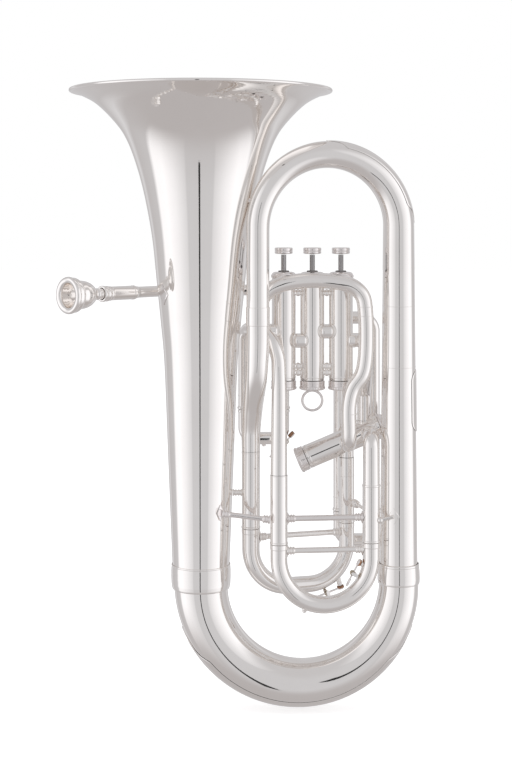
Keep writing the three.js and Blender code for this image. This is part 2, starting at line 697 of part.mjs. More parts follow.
const capFootZ = CASING_LOW_Z - 2 * GAP - BOTTOM_CAP_H;
const pistonFootZ = CASING_TOP_Z - PISTON_TOP_PLAY - PISTON_LENGTH;
VALVE_X.forEach((x, index) => {
  furnish(index + 1, {
    foot: at(x, VALVE_Y, capFootZ),
    axis: UP,
    casingLength: CASING_TOP_Z - CASING_LOW_Z,
    pistonLength: PISTON_LENGTH,
    windway: KNUCKLE_HIGH_Z - pistonFootZ,
  });
});

const RING_R = 11.6;
const RING_WIRE_R = 1.5;
add("finger_ring", new THREE.TorusGeometry(RING_R, RING_WIRE_R, 5, 14)
  .rotateX(Math.PI / 2)
  .translate(x2, VALVE_Y, capFootZ - GAP - RING_R - RING_WIRE_R));

// fourth valve, with the ports of the link from valve 3, the main slide and its own loop
const fourthAlong = (distance) => FOURTH_VALVE_FOOT.clone().addScaledVector(FOURTH_VALVE_AXIS, distance);
const LINK_X = 77;
const LOOP_IN_X = 56.2;
const LOOP_IN_Y = -13;
function fourthPort(x, direction, reach, r) {
  return stub(onFourthAxis(x), onFourthAxis(x).addScaledVector(direction, reach), r);
}
const fourthCasing = (r, extra) => rod(
  fourthAlong(BOTTOM_CAP_H + 2 * GAP - extra),
  fourthAlong(BOTTOM_CAP_H + 2 * GAP + FOURTH_CASING_LENGTH + extra),
  r, 16,
);
const fourthFittings = [
  fourthPort(LINK_X, UP, UNDER_FOURTH_CASING - 0.5, PORT_R),
  fourthPort(MAIN_RIGHT.x, at(0, 0, -1), UNDER_FOURTH_CASING - GAP, MAIN_RIGHT.r - 0.6),
  fourthPort(LOOP_IN_X, at(0, -1, 0), 17, 9),
  fourthPort(FOURTH_RIGHT.x, at(0, -1, 0), 17, 9),
];
add("valve_casing_4", combine(
  [fourthCasing(CASING_R, 0), ...fourthFittings.map((fitting) => fitting.outer)],
  [fourthCasing(BORE_R, 1), ...fourthFittings.map((fitting) => fitting.bore)],
));
furnish(4, {
  foot: FOURTH_VALVE_FOOT,
  axis: FOURTH_VALVE_AXIS,
  casingLength: FOURTH_CASING_LENGTH,
  pistonLength: FOURTH_PISTON_LENGTH,
  windway: 23,
});

// ---------------------------------------------------------------- link and fourth valve loop

add("valve_link_tube", pipe(route([
  at(x3 + 15.5 + GAP, VALVE_Y, KNUCKLE_LOW_Z),
  at(LINK_X, VALVE_Y, KNUCKLE_LOW_Z),
  at(LINK_X, VALVE_Y, 385),
  at(LINK_X, FOURTH_VALVE_FOOT.y, 360),
  at(LINK_X, FOURTH_VALVE_FOOT.y, onFourthAxis(LINK_X).z + UNDER_FOURTH_CASING),
], [10, 14, 14]), PORT_R));

const FOURTH_TUBE_R = 9;
const fourthPortZ = onFourthAxis(LOOP_IN_X).z;
const loopStations = [
  [LOOP_IN_X, FOURTH_VALVE_FOOT.y - 17.4, fourthPortZ, FOURTH_TUBE_R],
  [LOOP_IN_X, LOOP_IN_Y + 15, fourthPortZ, FOURTH_TUBE_R],
  [LOOP_IN_X, LOOP_IN_Y + 4.5, fourthPortZ + 4.5, FOURTH_TUBE_R],
  [LOOP_IN_X, LOOP_IN_Y, fourthPortZ + 17, FOURTH_TUBE_R],
  [LOOP_IN_X, LOOP_IN_Y, 352, FOURTH_TUBE_R],
  [60.5, LOOP_IN_Y, 370, FOURTH_TUBE_R],
  [71, LOOP_IN_Y, 386, FOURTH_TUBE_R],
  [75, LOOP_IN_Y, 404, FOURTH_TUBE_R],
  [75, LOOP_IN_Y, 460, FOURTH_TUBE_R],
  [71.5, LOOP_IN_Y, 477, FOURTH_TUBE_R],
  [60, LOOP_IN_Y, 488, FOURTH_TUBE_R],
  [38, LOOP_IN_Y, 493.2, FOURTH_TUBE_R],
  [8, LOOP_IN_Y, 494.6, FOURTH_TUBE_R],
  [-20.9, LOOP_IN_Y, 490, FOURTH_TUBE_R],
  [-35.8, -12.4, 483, FOURTH_TUBE_R],
  [-45, -11, 470, 8.8],
  [-45.5, -10.6, 452, 8.6],
  [-42.5, -12, 438, 8.2],
  [-31.5, -19.6, 422, 7.6],
  [-26, -23.2, 408, 7.2],
  [FOURTH_LEFT.x, FOURTH_LEFT.y, 390, 7.4],
  [FOURTH_LEFT.x, FOURTH_LEFT.y, FOURTH_LEFT_TOP_Z + GAP, 9.4],
];
add("crossover_tube", stationPipe(loopStations, 29, { sides: 8 }));

const fourthLegs = legs(FOURTH_LEFT, FOURTH_RIGHT);
const fourthSide = fourthLegs.across.clone().normalize();
const FOURTH_STAY_Z = 222.7;
const stayEnd = (leg, z, direction, lift) => at(leg.x, leg.y, z).addScaledVector(direction, leg.r + lift);

add("fourth_slide_sleeve_left", sleeve(FOURTH_LEFT, FOURTH_SLEEVE_Z, FOURTH_LEFT_TOP_Z, fourthLegs.normal));

// the right sleeve runs on as a gooseneck into the fourth valve's casing
const gooseZ = onFourthAxis(FOURTH_RIGHT.x).z;
const goosePath = (low) => route([
  at(FOURTH_RIGHT.x, FOURTH_RIGHT.y, low),
  at(FOURTH_RIGHT.x, FOURTH_RIGHT.y, gooseZ),
  at(FOURTH_RIGHT.x, FOURTH_VALVE_FOOT.y - 17.4, gooseZ),
], 14);
add("fourth_slide_sleeve_right", combine([
  sleeve(FOURTH_RIGHT, FOURTH_SLEEVE_Z, FOURTH_RIGHT_TOP_Z, fourthLegs.normal),
  pipe(
    goosePath(FOURTH_RIGHT_TOP_Z - 4), linear(FOURTH_RIGHT.r - 0.3, FOURTH_TUBE_R),
    { wall: 1, sides: 10, normal: fourthLegs.normal },
  ),
]));

add("fourth_slide_stay", stay(
  stayEnd(FOURTH_LEFT, FOURTH_STAY_Z, fourthSide, 0.5),
  stayEnd(FOURTH_RIGHT, FOURTH_STAY_Z, fourthSide.clone().negate(), 0.5),
));

const FOURTH_LOW_STAY_Z = 186;
const lowStay = stay(
  stayEnd(FOURTH_LEFT, FOURTH_LOW_STAY_Z, fourthSide, -1),
  stayEnd(FOURTH_RIGHT, FOURTH_LOW_STAY_Z, fourthSide.clone().negate(), -1),
);
const FOURTH_BEND_R = fourthLegs.width / 2 - 0.05;
add("fourth_slide", crook(FOURTH_LEFT, FOURTH_RIGHT, {
  shoulder: FOURTH_SLEEVE_Z - 0.5, legTop: 250, bottom: FOURTH_CROOK_Z, bend: FOURTH_BEND_R, extras: [lowStay],
}));

// The fourth slide's water key lies along the inner side of its crook, a chord from the bend's centre.
const FOURTH_KEY = {
  radius: 36.3, angle: THREE.MathUtils.degToRad(-29), reach: 14, tail: 13, cupLift: 2.6,
};
const fourthBendCentre = at(
  (FOURTH_LEFT.x + FOURTH_RIGHT.x) / 2, (FOURTH_LEFT.y + FOURTH_RIGHT.y) / 2, FOURTH_CROOK_Z + FOURTH_BEND_R,
);
const fourthKeyFace = tilted(fourthSide, FOURTH_KEY.angle);
const fourthKeyAlong = tilted(fourthSide, FOURTH_KEY.angle + Math.PI / 2);
const fourthKeyHinge = fourthBendCentre.clone().addScaledVector(fourthKeyFace, FOURTH_KEY.radius);
add("fourth_water_key", placeKey(waterKey(FOURTH_KEY), fourthKeyHinge, fourthKeyAlong, fourthKeyFace));

// a stay from the bell's front to the fourth slide's left sleeve, in front of the main slide's
add("bell_stay", stay(at(-89, -31.2, 229.7), at(-34.6, -32.6, 223), 1.8));

// ---------------------------------------------------------------- first, second and third slides

const small = (x, y) => ({ x, y, r: SMALL_SLIDE_R });
const FLAT_BEND_R = 13;

// An outer tube that leaves a casing and turns down to end in a sleeve with a bead.
function turnedDown(corners, bends, low) {
  const end = corners[corners.length - 1];
  const tube = pipe(route(corners, bends), SMALL_SLIDE_R);
  const bead = rod(at(end.x, end.y, low), at(end.x, end.y, low + 3), SMALL_SLIDE_R + 1.2);
  const clearBore = rod(at(end.x, end.y, low - 1), at(end.x, end.y, low + 5), SMALL_SLIDE_R - WALL + 0.1);
  return combine([tube, bead], [clearBore]);
}

const first = FIRST_SLIDE;
add("first_slide_tube_left", turnedDown([
  at(x1 - 18.3, VALVE_Y, KNUCKLE_HIGH_Z),
  at(-45, VALVE_Y, KNUCKLE_HIGH_Z),
  at(first.left, first.y, KNUCKLE_HIGH_Z),
  at(first.left, first.y, first.sleeve),
], [8, 14], first.sleeve));
add("first_slide_tube_right", turnedDown([
  at(first.right, STUB_Y + GAP, 408),
  at(first.right, first.y, 408),
  at(first.right, first.y, first.sleeve),
], [9], first.sleeve));

// A slide with thin legs and a flat-bottomed crook, in the sleeves' own facets.
function smallSlide(left, right, { shoulder, legTop, bottom, bend }) {
  const options = { wall: 0, normal: at(0, 1, 0) };
  const path = (z) => route([
    at(left.x, left.y, z),
    at(left.x, left.y, bottom),
    at(right.x, right.y, bottom),
    at(right.x, right.y, z),
  ], bend);
  const leg = ({ x, y, r }, top, inset) => rod(at(x, y, shoulder - 3), at(x, y, top), r - inset);
  return combine(
    [pipe(path(shoulder), SMALL_SLIDE_R, options), ...[left, right].map((end) => leg(end, legTop, 2 * WALL))],
    [pipe(path(shoulder + 1), SMALL_SLIDE_R - 2.4, options), ...[left, right].map((end) => leg(end, legTop + 1, 2.4))],
  );
}

add("first_slide", smallSlide(small(first.left, first.y), small(first.right, first.y), {
  shoulder: first.sleeve - 0.5, legTop: first.sleeve + 34, bottom: first.crook, bend: FLAT_BEND_R,
}));
// The first slide's water key hangs across the crook's lower right corner.
const FIRST_KEY_R = 24; // hinge, from the centre of that corner's bend
const firstKeyHinge = at(
  first.right - FLAT_BEND_R + FIRST_KEY_R * Math.SQRT1_2,
  first.y,
  first.crook + FLAT_BEND_R - FIRST_KEY_R * Math.SQRT1_2,
);
add("first_water_key", placeKey(
  waterKey({ reach: 10, tail: 24, cupLift: 3.8 }),
  firstKeyHinge, at(Math.SQRT1_2, 0, Math.SQRT1_2), at(-Math.SQRT1_2, 0, Math.SQRT1_2),
));

const third = THIRD_SLIDE;
add("third_slide_tube_left", turnedDown([
  at(x3, STUB_Y + GAP, 400),
  at(third.left, third.y, 400),
  at(third.left, third.y, third.sleeve),
], [13], third.sleeve));
add("third_slide_tube_right", turnedDown([
  at(x3, STUB_Y + GAP, 447),
  at(x3, third.y, 447),
  at(third.right, third.y, 447),
  at(third.right, third.y, third.sleeve),
], [11, 16], third.sleeve));
add("third_slide", smallSlide(small(third.left, third.y), small(third.right, third.y), {
  shoulder: third.sleeve - 0.5, legTop: third.sleeve + 58, bottom: third.crook, bend: FLAT_BEND_R,
}));

// the second slide pulls straight back
const second = SECOND_SLIDE;
const secondPath = (y) => route([
  at(x2, y, second.high),
  at(x2, second.crook, second.high),
  at(x2, second.crook, second.low),
  at(x2, y, second.low),
], (second.high - second.low) / 2 - 0.05);
const secondLeg = (z, from, to, r) => rod(at(x2, from, z), at(x2, to, z), r);
const secondOptions = { wall: 0, normal: at(1, 0, 0) };
const secondHeights = [second.high, second.low];
add("second_slide", combine(
  [
    pipe(secondPath(second.sleeve + 0.5), SMALL_SLIDE_R, secondOptions),
    ...secondHeights.map((z) => secondLeg(z, second.sleeve + 3, second.sleeve - 16, SMALL_SLIDE_R - 2 * WALL)),
  ],
  [
    pipe(secondPath(second.sleeve - 1), SMALL_SLIDE_R - 2.4, secondOptions),
    ...secondHeights.map((z) => secondLeg(z, second.sleeve + 3, second.sleeve - 17, SMALL_SLIDE_R - 2.4)),
  ],
));

// ---------------------------------------------------------------- leadpipe and mouthpiece

const inwards = at(Math.SQRT1_2, Math.SQRT1_2, 0); // from the mouthpiece towards the bell's back
const wrapCorner = at(BELL_X - LEADPIPE_WRAP_R * Math.tan(Math.PI / 8), LEADPIPE_WRAP_R, LEADPIPE_Z);
const wrapStart = wrapCorner.clone().addScaledVector(inwards, -LEADPIPE_WRAP_R * Math.tan(Math.PI / 8));
const rimCentre = wrapStart.clone().addScaledVector(inwards, -MOUTHPIECE_REACH);
const fromRim = (distance) => rimCentre.clone().addScaledVector(inwards, distance);

const RECEIVER_START = 50;
const RECEIVER_END = 104;
add("leadpipe", pipe(route([
  fromRim(RECEIVER_END + GAP),
  wrapCorner,
  at(x1, LEADPIPE_WRAP_R, LEADPIPE_Z),
  at(x1, STUB_Y + GAP, LEADPIPE_Z),
], [LEADPIPE_WRAP_R, 20], 4), LEADPIPE_R, { normal: UP }));

// the receiver: a socket for the shank, a stepped sleeve and the taper into the leadpipe
add("mouthpiece_receiver", stand(turned([
  [6.9, 0], [8.6, 0], [8.6, 3], [8, 4], [8, 11], [7.4, 12], [7.4, 44], [8.2, 45], [8.2, 50], [7, 54],
  [5.6, 54], [5.6, 26], [6.9, 26],
], 12), fromRim(RECEIVER_START), inwards));

// the mouthpiece: rim, cup, throat and the shank that slips into the receiver
add("mouthpiece", stand(turned([
  [20, 0], [21, 1.6], [20.6, 4.4], [17.6, 7], [16.4, 12], [13.4, 22], [8.6, 31], [6.2, 37], [6.2, 40],
  [6.3, 46], [6.5, 74], [5.5, 74], [3.4, 34], [8.4, 25], [12.6, 14], [13.6, 4], [15, 0.6], [17, 0],
], 14), rimCentre, inwards));

export default euphonium;
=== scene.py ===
"""Visual model of the euphonium. Shapes are written in millimetres and made in metres."""
import math

import bmesh
import bpy
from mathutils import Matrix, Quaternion, Vector


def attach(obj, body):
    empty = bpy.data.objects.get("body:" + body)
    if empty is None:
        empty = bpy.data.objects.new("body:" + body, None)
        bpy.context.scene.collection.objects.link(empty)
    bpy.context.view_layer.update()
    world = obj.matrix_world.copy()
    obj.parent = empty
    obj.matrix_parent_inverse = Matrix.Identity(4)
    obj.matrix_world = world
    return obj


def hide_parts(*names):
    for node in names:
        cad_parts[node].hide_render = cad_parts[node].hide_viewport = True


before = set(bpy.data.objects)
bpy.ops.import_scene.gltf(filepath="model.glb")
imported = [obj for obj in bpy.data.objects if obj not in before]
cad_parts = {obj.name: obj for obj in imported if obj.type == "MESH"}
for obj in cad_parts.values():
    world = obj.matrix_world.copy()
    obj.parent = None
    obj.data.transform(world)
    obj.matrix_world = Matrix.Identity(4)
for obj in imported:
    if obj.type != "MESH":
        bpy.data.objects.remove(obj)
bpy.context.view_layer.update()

MM = 0.001
X_AXIS = Vector((1, 0, 0))
Y_AXIS = Vector((0, 1, 0))
UP = Vector((0, 0, 1))


def at(x, y, z):
    return Vector((x, y, z))


def add_object(name, data):
    """Makes an object and links it to the scene."""
    made = bpy.data.objects.new(name, data)
    bpy.context.scene.collection.objects.link(made)
    return made


# ---- camera


def make_camera():
    data = bpy.data.cameras.new("camera")
    data.sensor_fit = "VERTICAL"
    data.sensor_height = 36.0
    data.lens = 70.3
    data.shift_y = -0.2201
    data.clip_end = 60
    camera = add_object("camera", data)
    camera.location = (-0.05085, -1.740, 0.570)
    camera.rotation_euler = (math.radians(90), 0, 0)
    bpy.context.scene.camera = camera


make_camera()

# ---- node materials


class Nodes:
    """A short way to write a shader's nodes: make a node, set its inputs, link what is linkable."""

    def __init__(self, tree):
        self.tree = tree
        tree.nodes.clear()

    def __call__(self, kind, inputs=None, **settings):
        node = self.tree.nodes.new("ShaderNode" + kind)
        for key, value in settings.items():
            setattr(node, key, value)
        for key, value in (inputs or {}).items():
            if isinstance(value, bpy.types.NodeSocket):
                self.tree.links.new(value, node.inputs[key])
            else:
                node.inputs[key].default_value = value
        return node

    def ramp(self, value, stops, interpolation="LINEAR"):
        node = self("ValToRGB", {"Fac": value})
        node.color_ramp.interpolation = interpolation
        elements = node.color_ramp.elements
        while len(elements) < len(stops):
            elements.new(0.5)
        for element, (position, colour) in zip(elements, stops):
            element.position = position
            element.color = (*colour, 1)
        return node.outputs["Color"]

    def maths(self, operation, first, second=0.0):
        return self("Math", {0: first, 1: second}, operation=operation).outputs[0]

    def span(self, value, low, high, to_low, to_high):
        inputs = {"Value": value, "From Min": low, "From Max": high, "To Min": to_low, "To Max": to_high}
        return self("MapRange", inputs).outputs["Result"]

    def mix(self, factor, first, second):
        inputs = {"Factor": factor, "A": first, "B": second}
        return self("Mix", inputs, data_type="RGBA").outputs["Result"]

    def noise(self, vector, scale, detail=4.0, roughness=0.5):
        inputs = {"Vector": vector, "Scale": scale, "Detail": detail, "Roughness": roughness}
        return self("TexNoise", inputs).outputs["Fac"]


def material(name, fill):
    made = bpy.data.materials.new(name)
    made.use_nodes = True
    nodes = Nodes(made.node_tree)
    place = nodes("TexCoord").outputs["Object"]
    shader = nodes("BsdfPrincipled")
    fill(nodes, place, shader)
    nodes("OutputMaterial", {"Surface": shader.outputs[0]})
    return made


def wire(nodes, shader, name, value):
    nodes.tree.links.new(value, shader.inputs[name])


def metal(dark, light, rough_low, rough_high, grain=300.0, bump=0.03):
    """Polished or satin plate: cloudy colour, hairline roughness and a faint hand-worked surface."""

    def fill(nodes, place, shader):
        cloud = nodes.noise(place, 14.0, 5.0, 0.6)
        wire(nodes, shader, "Base Color", nodes.ramp(cloud, [(0.3, dark), (0.7, light)]))
        hairs = nodes("Mapping", {"Vector": place, "Scale": (1.0, 1.0, 0.12)}).outputs[0]
        scratch = nodes.noise(hairs, grain, 6.0, 0.65)
        wire(nodes, shader, "Roughness", nodes.span(scratch, 0.3, 0.75, rough_low, rough_high))
        wave = nodes.noise(place, 38.0, 2.0, 0.4)
        lift = nodes("Bump", {"Strength": bump, "Distance": 0.002, "Height": wave})
        wire(nodes, shader, "Normal", lift.outputs["Normal"])
        shader.inputs["Metallic"].default_value = 1.0

    return fill


def cork(nodes, place, shader):
    cells = nodes("TexVoronoi", {"Vector": place, "Scale": 900.0}).outputs["Distance"]
    blotch = nodes.noise(place, 700.0, 4.0)
    mixed = nodes.maths("MULTIPLY", cells, blotch)
    colour = nodes.ramp(mixed, [
        (0.05, (0.16, 0.07, 0.04)), (0.3, (0.40, 0.21, 0.12)), (0.6, (0.56, 0.35, 0.22)),
    ])
    wire(nodes, shader, "Base Color", colour)
    wire(nodes, shader, "Roughness", nodes.span(blotch, 0.3, 0.7, 0.7, 0.95))
    lift = nodes("Bump", {"Strength": 0.5, "Distance": 0.0004, "Height": cells})
    wire(nodes, shader, "Normal", lift.outputs["Normal"])


def felt(nodes, place, shader):
    fuzz = nodes.noise(place, 2600.0, 5.0, 0.7)
    colour = nodes.ramp(fuzz, [(0.3, (0.18, 0.17, 0.17)), (0.7, (0.36, 0.34, 0.33))])
    wire(nodes, shader, "Base Color", colour)
    wire(nodes, shader, "Roughness", nodes.span(fuzz, 0.2, 0.8, 0.85, 1.0))
    lift = nodes("Bump", {"Strength": 0.6, "Distance": 0.0003, "Height": fuzz})
    wire(nodes, shader, "Normal", lift.outputs["Normal"])


PLATE = material("silver_plate", metal((0.915, 0.89, 0.868), (0.95, 0.928, 0.908), 0.025, 0.06, bump=0.012))
TRIM = material("silver_trim", metal((0.84, 0.805, 0.79), (0.925, 0.895, 0.885), 0.07, 0.16, 700.0, 0.03))
INNER = material("slide_tube", metal((0.80, 0.765, 0.745), (0.88, 0.85, 0.835), 0.1, 0.2, 900.0, 0.02))
STEEL = material("valve_steel", metal((0.33, 0.32, 0.318), (0.45, 0.438, 0.432), 0.22, 0.38, 1200.0, 0.04))
SPRING = material("spring_wire", metal((0.42, 0.36, 0.27), (0.62, 0.55, 0.43), 0.2, 0.36, 1500.0, 0.05))
CORK = material("key_cork", cork)
FELT = material("button_felt", felt)

# ---- mesh helpers


def frames(points, normal):
    """At each point of a path: its place, two directions across it and its share of the length."""
    heading = (points[1] - points[0]).normalized()
    side = X_AXIS.copy() if abs(heading.dot(normal)) > 0.99 else normal.copy()
    found = []
    run = 0.0
    for i, point in enumerate(points):
        before = points[max(i - 1, 0)]
        after = points[min(i + 1, len(points) - 1)]
        tangent = ((point - before).normalized() + (after - point).normalized()).normalized()
        side = (side - tangent * side.dot(tangent)).normalized()
        run += (point - before).length
        found.append([point, side.copy(), tangent.cross(side), run])
    return [(p, s, o, r / run) for p, s, o, r in found]


def held(points, margin):
    """Adds a point near each end of every long straight run, so that its shading stays straight."""
    made = [points[0]]
    for before, after in zip(points, points[1:]):
        step = after - before
        if step.length > 4 * margin:
            made.append(before + step.normalized() * margin)
            made.append(after - step.normalized() * margin)
        made.append(after)
    return made


def route(corners, bends, steps):
    """Straight runs between corners, each inner corner rounded to its bend radius."""
    points = [corners[0]]
    for i in range(1, len(corners) - 1):
        bend = bends[i - 1] if isinstance(bends, (list, tuple)) else bends
        back = (corners[i - 1] - corners[i]).normalized()
        ahead = (corners[i + 1] - corners[i]).normalized()
        half = back.angle(ahead) / 2
        centre = corners[i] + (back + ahead).normalized() * (bend / math.sin(half))
        start = corners[i] + back * (bend / math.tan(half)) - centre
        axis = back.cross(start).normalized()
        for k in range(steps + 1):
            points.append(Quaternion(axis, (math.pi - 2 * half) * k / steps) @ start + centre)
    points.append(corners[-1])
    return held([p for i, p in enumerate(points) if i == 0 or (p - points[i - 1]).length > 0.01], 1.2)


def bow_arc(left, right, z, from_degrees, to_degrees, steps):
    middle = (left + right) / 2
    arm = (right - left) / 2
    points = []
    for i in range(steps + 1):
        angle = math.radians(from_degrees + (to_degrees - from_degrees) * i / steps)
        point = middle + arm * math.cos(angle)
        points.append(at(point.x, point.y, z + arm.length * math.sin(angle)))
    return points


def linear(low, high):
    """A radius that changes evenly along a path."""
    return lambda share: low + (high - low) * share


def ring_round(centre, first, second, radius, count):
    """Evenly spaced points of a circle across two directions."""
    angles = [2 * math.pi * k / count for k in range(count)]
    return [centre + first * (radius * math.cos(a)) + second * (radius * math.sin(a)) for a in angles]


def soften(outline, radius=0.5, steps=3, closed=False):
    """Rounds the corners of an outline of (radius, height) pairs."""
    count = len(outline)
    made = []
    for i, point in enumerate(outline):
        if not closed and i in (0, count - 1):
            made.append(point)
            continue
        here = Vector(point)
        before = Vector(outline[i - 1])
        after = Vector(outline[(i + 1) % count])
        reach_back = min(radius, (before - here).length * 0.45)
        reach_on = min(radius, (after - here).length * 0.45)
        a = here + (before - here).normalized() * reach_back
        b = here + (after - here).normalized() * reach_on
        for k in range(steps + 1):
            t = k / steps
            made.append(tuple(a * (1 - t) ** 2 + here * 2 * t * (1 - t) + b * t * t))
    return made


class Shape:
    """Points and faces in millimetres, gathered from simple solids."""

    def __init__(self):
        self.points = []
        self.faces = []

    def loft(self, rings, loop=False):
        first = len(self.points)
        size = len(rings[0])
        for ring in rings:
            self.points.extend(ring)
        count = len(rings)
        for i in range(count if loop else count - 1):
            a = first + i * size
            b = first + ((i + 1) % count) * size
            for k in range(size):
                n = (k + 1) % size
                self.faces.append((a + k, a + n, b + n, b + k))
        if not loop:
            self.faces.append(tuple(range(first + size - 1, first - 1, -1)))
            last = first + (count - 1) * size
            self.faces.append(tuple(range(last, last + size)))
        return self

    def tube(self, points, radius, wall=0.8, sides=48, normal=Y_AXIS):
        radius_at = radius if callable(radius) else lambda share: radius
        stations = frames(points, normal)

        def layer(inset):
            return [ring_round(p, side, over, radius_at(share) - inset, sides)
                    for p, side, over, share in stations]

        if wall:
            return self.loft(layer(0) + layer(wall)[::-1], loop=True)
        return self.loft(layer(0))

    def turned(self, outline, foot, axis=UP, sides=48, knurl=None, smooth=0.5):
        """Turns an outline about an axis. knurl is (count, depth, lowest, highest) on the outline."""
        open_ended = outline[0][0] == 0
        profile = soften(outline, smooth, closed=not open_ended) if smooth else outline
        profile = held([Vector(point) for point in profile], 0.3)
        turn = UP.rotation_difference(axis)
        rings = []
        for radius, height in profile:
            ring = []
            for k in range(sides):
                angle = 2 * math.pi * k / sides
                r = max(radius, 0.02)
                if knurl and knurl[2] <= height <= knurl[3]:
                    r -= knurl[1] * (0.5 + 0.5 * math.cos(knurl[0] * angle))
                ring.append(foot + turn @ at(r * math.cos(angle), r * math.sin(angle), height))
            rings.append(ring)
        return self.loft(rings, loop=not open_ended)

    def rod(self, start, end, radius, sides=24):
        length = (end - start).length
        outline = [(0, 0), (radius, 0), (radius, length), (0, length)]
        return self.turned(outline, start, (end - start).normalized(), sides, smooth=0.4)

    def band(self, centre, axis, radius, width, rise=0.6, sides=64):
        """A raised ring round a tube."""
        half = width / 2
        outline = [
            (radius - 0.5, -half), (radius + rise * 0.5, -half), (radius + rise, -half * 0.5),
            (radius + rise, half * 0.5), (radius + rise * 0.5, half), (radius - 0.5, half),
        ]
        return self.turned(outline, centre, axis, sides, smooth=min(0.4, width / 4))

    def ball(self, centre, radius):
        outline = [(0, -radius)]
        for k in range(1, 16):
            angle = math.pi * k / 16 - math.pi / 2
            outline.append((radius * math.cos(angle), radius * math.sin(angle)))
        outline.append((0, radius))
        return self.turned(outline, centre, UP, 32, smooth=0)

    def block(self, centre, along, across, size):
        """A flat bar with round ends and softened edges. size is (length, width, thickness)."""
        over = along.cross(across).normalized()
        length, width, thick = (value / 2 for value in size)
        outline = []
        for end in (1, -1):
            for k in range(25):
                angle = math.pi * k / 24 - end * math.pi / 2
                outline.append((end * (length - width) + width * math.cos(angle), width * math.sin(angle)))
        rings = []
        for height, shrink in ((-thick, 0.85), (-thick * 0.6, 1.0), (thick * 0.6, 1.0), (thick, 0.85)):
            inset = (1 - shrink) * 2 * thick
            ring = []
            for u, v in outline:
                u_in = u - math.copysign(min(inset, abs(u)), u)
                v_in = v - math.copysign(min(inset, abs(v)), v)
                ring.append(centre + along * u_in + across * v_in + over * height)
            rings.append(ring)
        return self.loft(rings)

    def plate(self, points, radius, normal, half_width, thickness=1.1, columns=32, lift=0.3):
        """A thin plate wrapped round the outside of a bend. half_width gives radians at a share."""
        stations = frames(points, normal)
        rings = []
        for point, side, over, share in stations:
            reach = max(half_width(share), 0.01)
            ring = []
            for layer, order in ((lift + thickness, range(columns + 1)), (lift, range(columns, -1, -1))):
                for k in order:
                    u = 2 * k / columns - 1
                    edge = max(0.0, abs(u) - 0.94) / 0.06
                    r = radius(share) + (layer - thickness * 0.5 * edge * edge if layer > lift else layer)
                    angle = u * reach - math.pi / 2
                    ring.append(point + side * (r * math.cos(angle)) + over * (r * math.sin(angle)))
            rings.append(ring)
        return self.loft(rings)

    def stay(self, start, end, radius=3.3):
        """A brace: a straight rod with three beads at each end, or two smaller ones if it is short."""
        length = (end - start).length
        half = [
            (0, 0), (4.6, 0), (4.9, 0.7), (4.9, 1.7), (3.6, 2.4), (3.6, 2.9), (4.7, 3.5), (4.7, 4.7),
            (3.6, 5.4), (3.6, 5.8), (4.6, 6.4), (4.6, 7.5), (3.5, 8.3), (radius, 8.9),
        ]
        if length < 34:
            squeeze = min(1.0, length / 12)
            half = [(r * 0.8, z * squeeze) for r, z in half[:9]]
        other = [(r, length - z) for r, z in reversed(half)]
        axis = (end - start).normalized()
        return self.turned(half + other, start, axis, 32, smooth=0.35)

    def flange(self, centre, along, outwards, radius, length, half):
        """A diamond-shaped foot plate wrapped round a tube. half is its half width in radians."""
        points = [centre + along * (length * (k / 16 - 0.5)) for k in range(17)]
        radius_at = radius if callable(radius) else lambda share: radius

        def half_width(share):
            return half * (1 - abs(2 * share - 1))

        return self.plate(points, radius_at, along.cross(outwards), half_width,
                          thickness=0.9, columns=16, lift=0)

    def diamond(self, centre, along, across, length, width):
        """A thin flat diamond-shaped foot plate with rounded points."""
        over = along.cross(across).normalized()
        corners = [(length / 2, 0), (0, width / 2), (-length / 2, 0), (0, -width / 2)]
        outline = soften(corners, 1.6, 4, closed=True)
        rings = []
        for height, inset in ((0, 0.97), (0.84, 1.0), (1.2, 0.9)):
            place = centre + over * height
            rings.append([place + along * (u * inset) + across * (v * inset) for u, v in outline])
        return self.loft(rings)


def piece(name, shape, look=PLATE, body="instrument", nodes=(), sharp=38):
    """Makes an object from a shape, in metres, and rides it on its body."""
    mesh = bpy.data.meshes.new(name)
    mesh.from_pydata([p * MM for p in shape.points], [], shape.faces)
    work = bmesh.new()
    work.from_mesh(mesh)
    bmesh.ops.recalc_face_normals(work, faces=work.faces)
    work.to_mesh(mesh)
    work.free()
    mesh.shade_smooth()
    mesh.set_sharp_from_angle(angle=math.radians(sharp))
    mesh.materials.append(look)
    made = add_object(name, mesh)
    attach(made, body)
    if nodes:
        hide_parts(*nodes)


# ---- dimensions shared with the CAD

GAP = 0.3  # clearance between neighbouring pieces
BOW_R = 114.65
BOW_Z = 142.95
BELL_X, BRANCH_X = -BOW_R, BOW_R
BELL_FOOT = at(BELL_X, 0, 0)
BRANCH_FOOT = at(BRANCH_X, 0, 0)
TOP_BOW_Z = 556.0
INNER_FOOT = at(-48.65, -35, 0)
MAIN_LEFT, MAIN_RIGHT = (-56.8, 0, 10.6), (56.35, 34, 9.0)
FOURTH_LEFT, FOURTH_RIGHT = (-24.65, -25.5, 9.9), (81.6, -15, 10.1)
VALVE_X = (-18.5, 14.9, 48.3)
VALVE_Y = 12.0
KNUCKLE_LOW_Z, KNUCKLE_HIGH_Z = 424, 434.8
CAP_FOOT_Z = 365.8
CAP_STEP = 11.6  # from a bottom cap's foot to its casing's foot
CASING_LENGTH, FOURTH_CASING_LENGTH = 119, 94
PORT_R = 8.25
LINK_X = 77
LOOP_X, LOOP_Y, LOOP_R = 56.2, -13, 9
PORT_END_Y = 16.6  # where the fourth valve's two loop tubes meet its ports
SMALL_R = 7.5
FIRST_SLIDE_Y, THIRD_SLIDE_Y, LEADPIPE_Y = 55, 58, 58
FIRST_PORT_Z, SECOND_PORTS_Z, THIRD_PORTS_Z = 408, (420, 396), (447, 400)
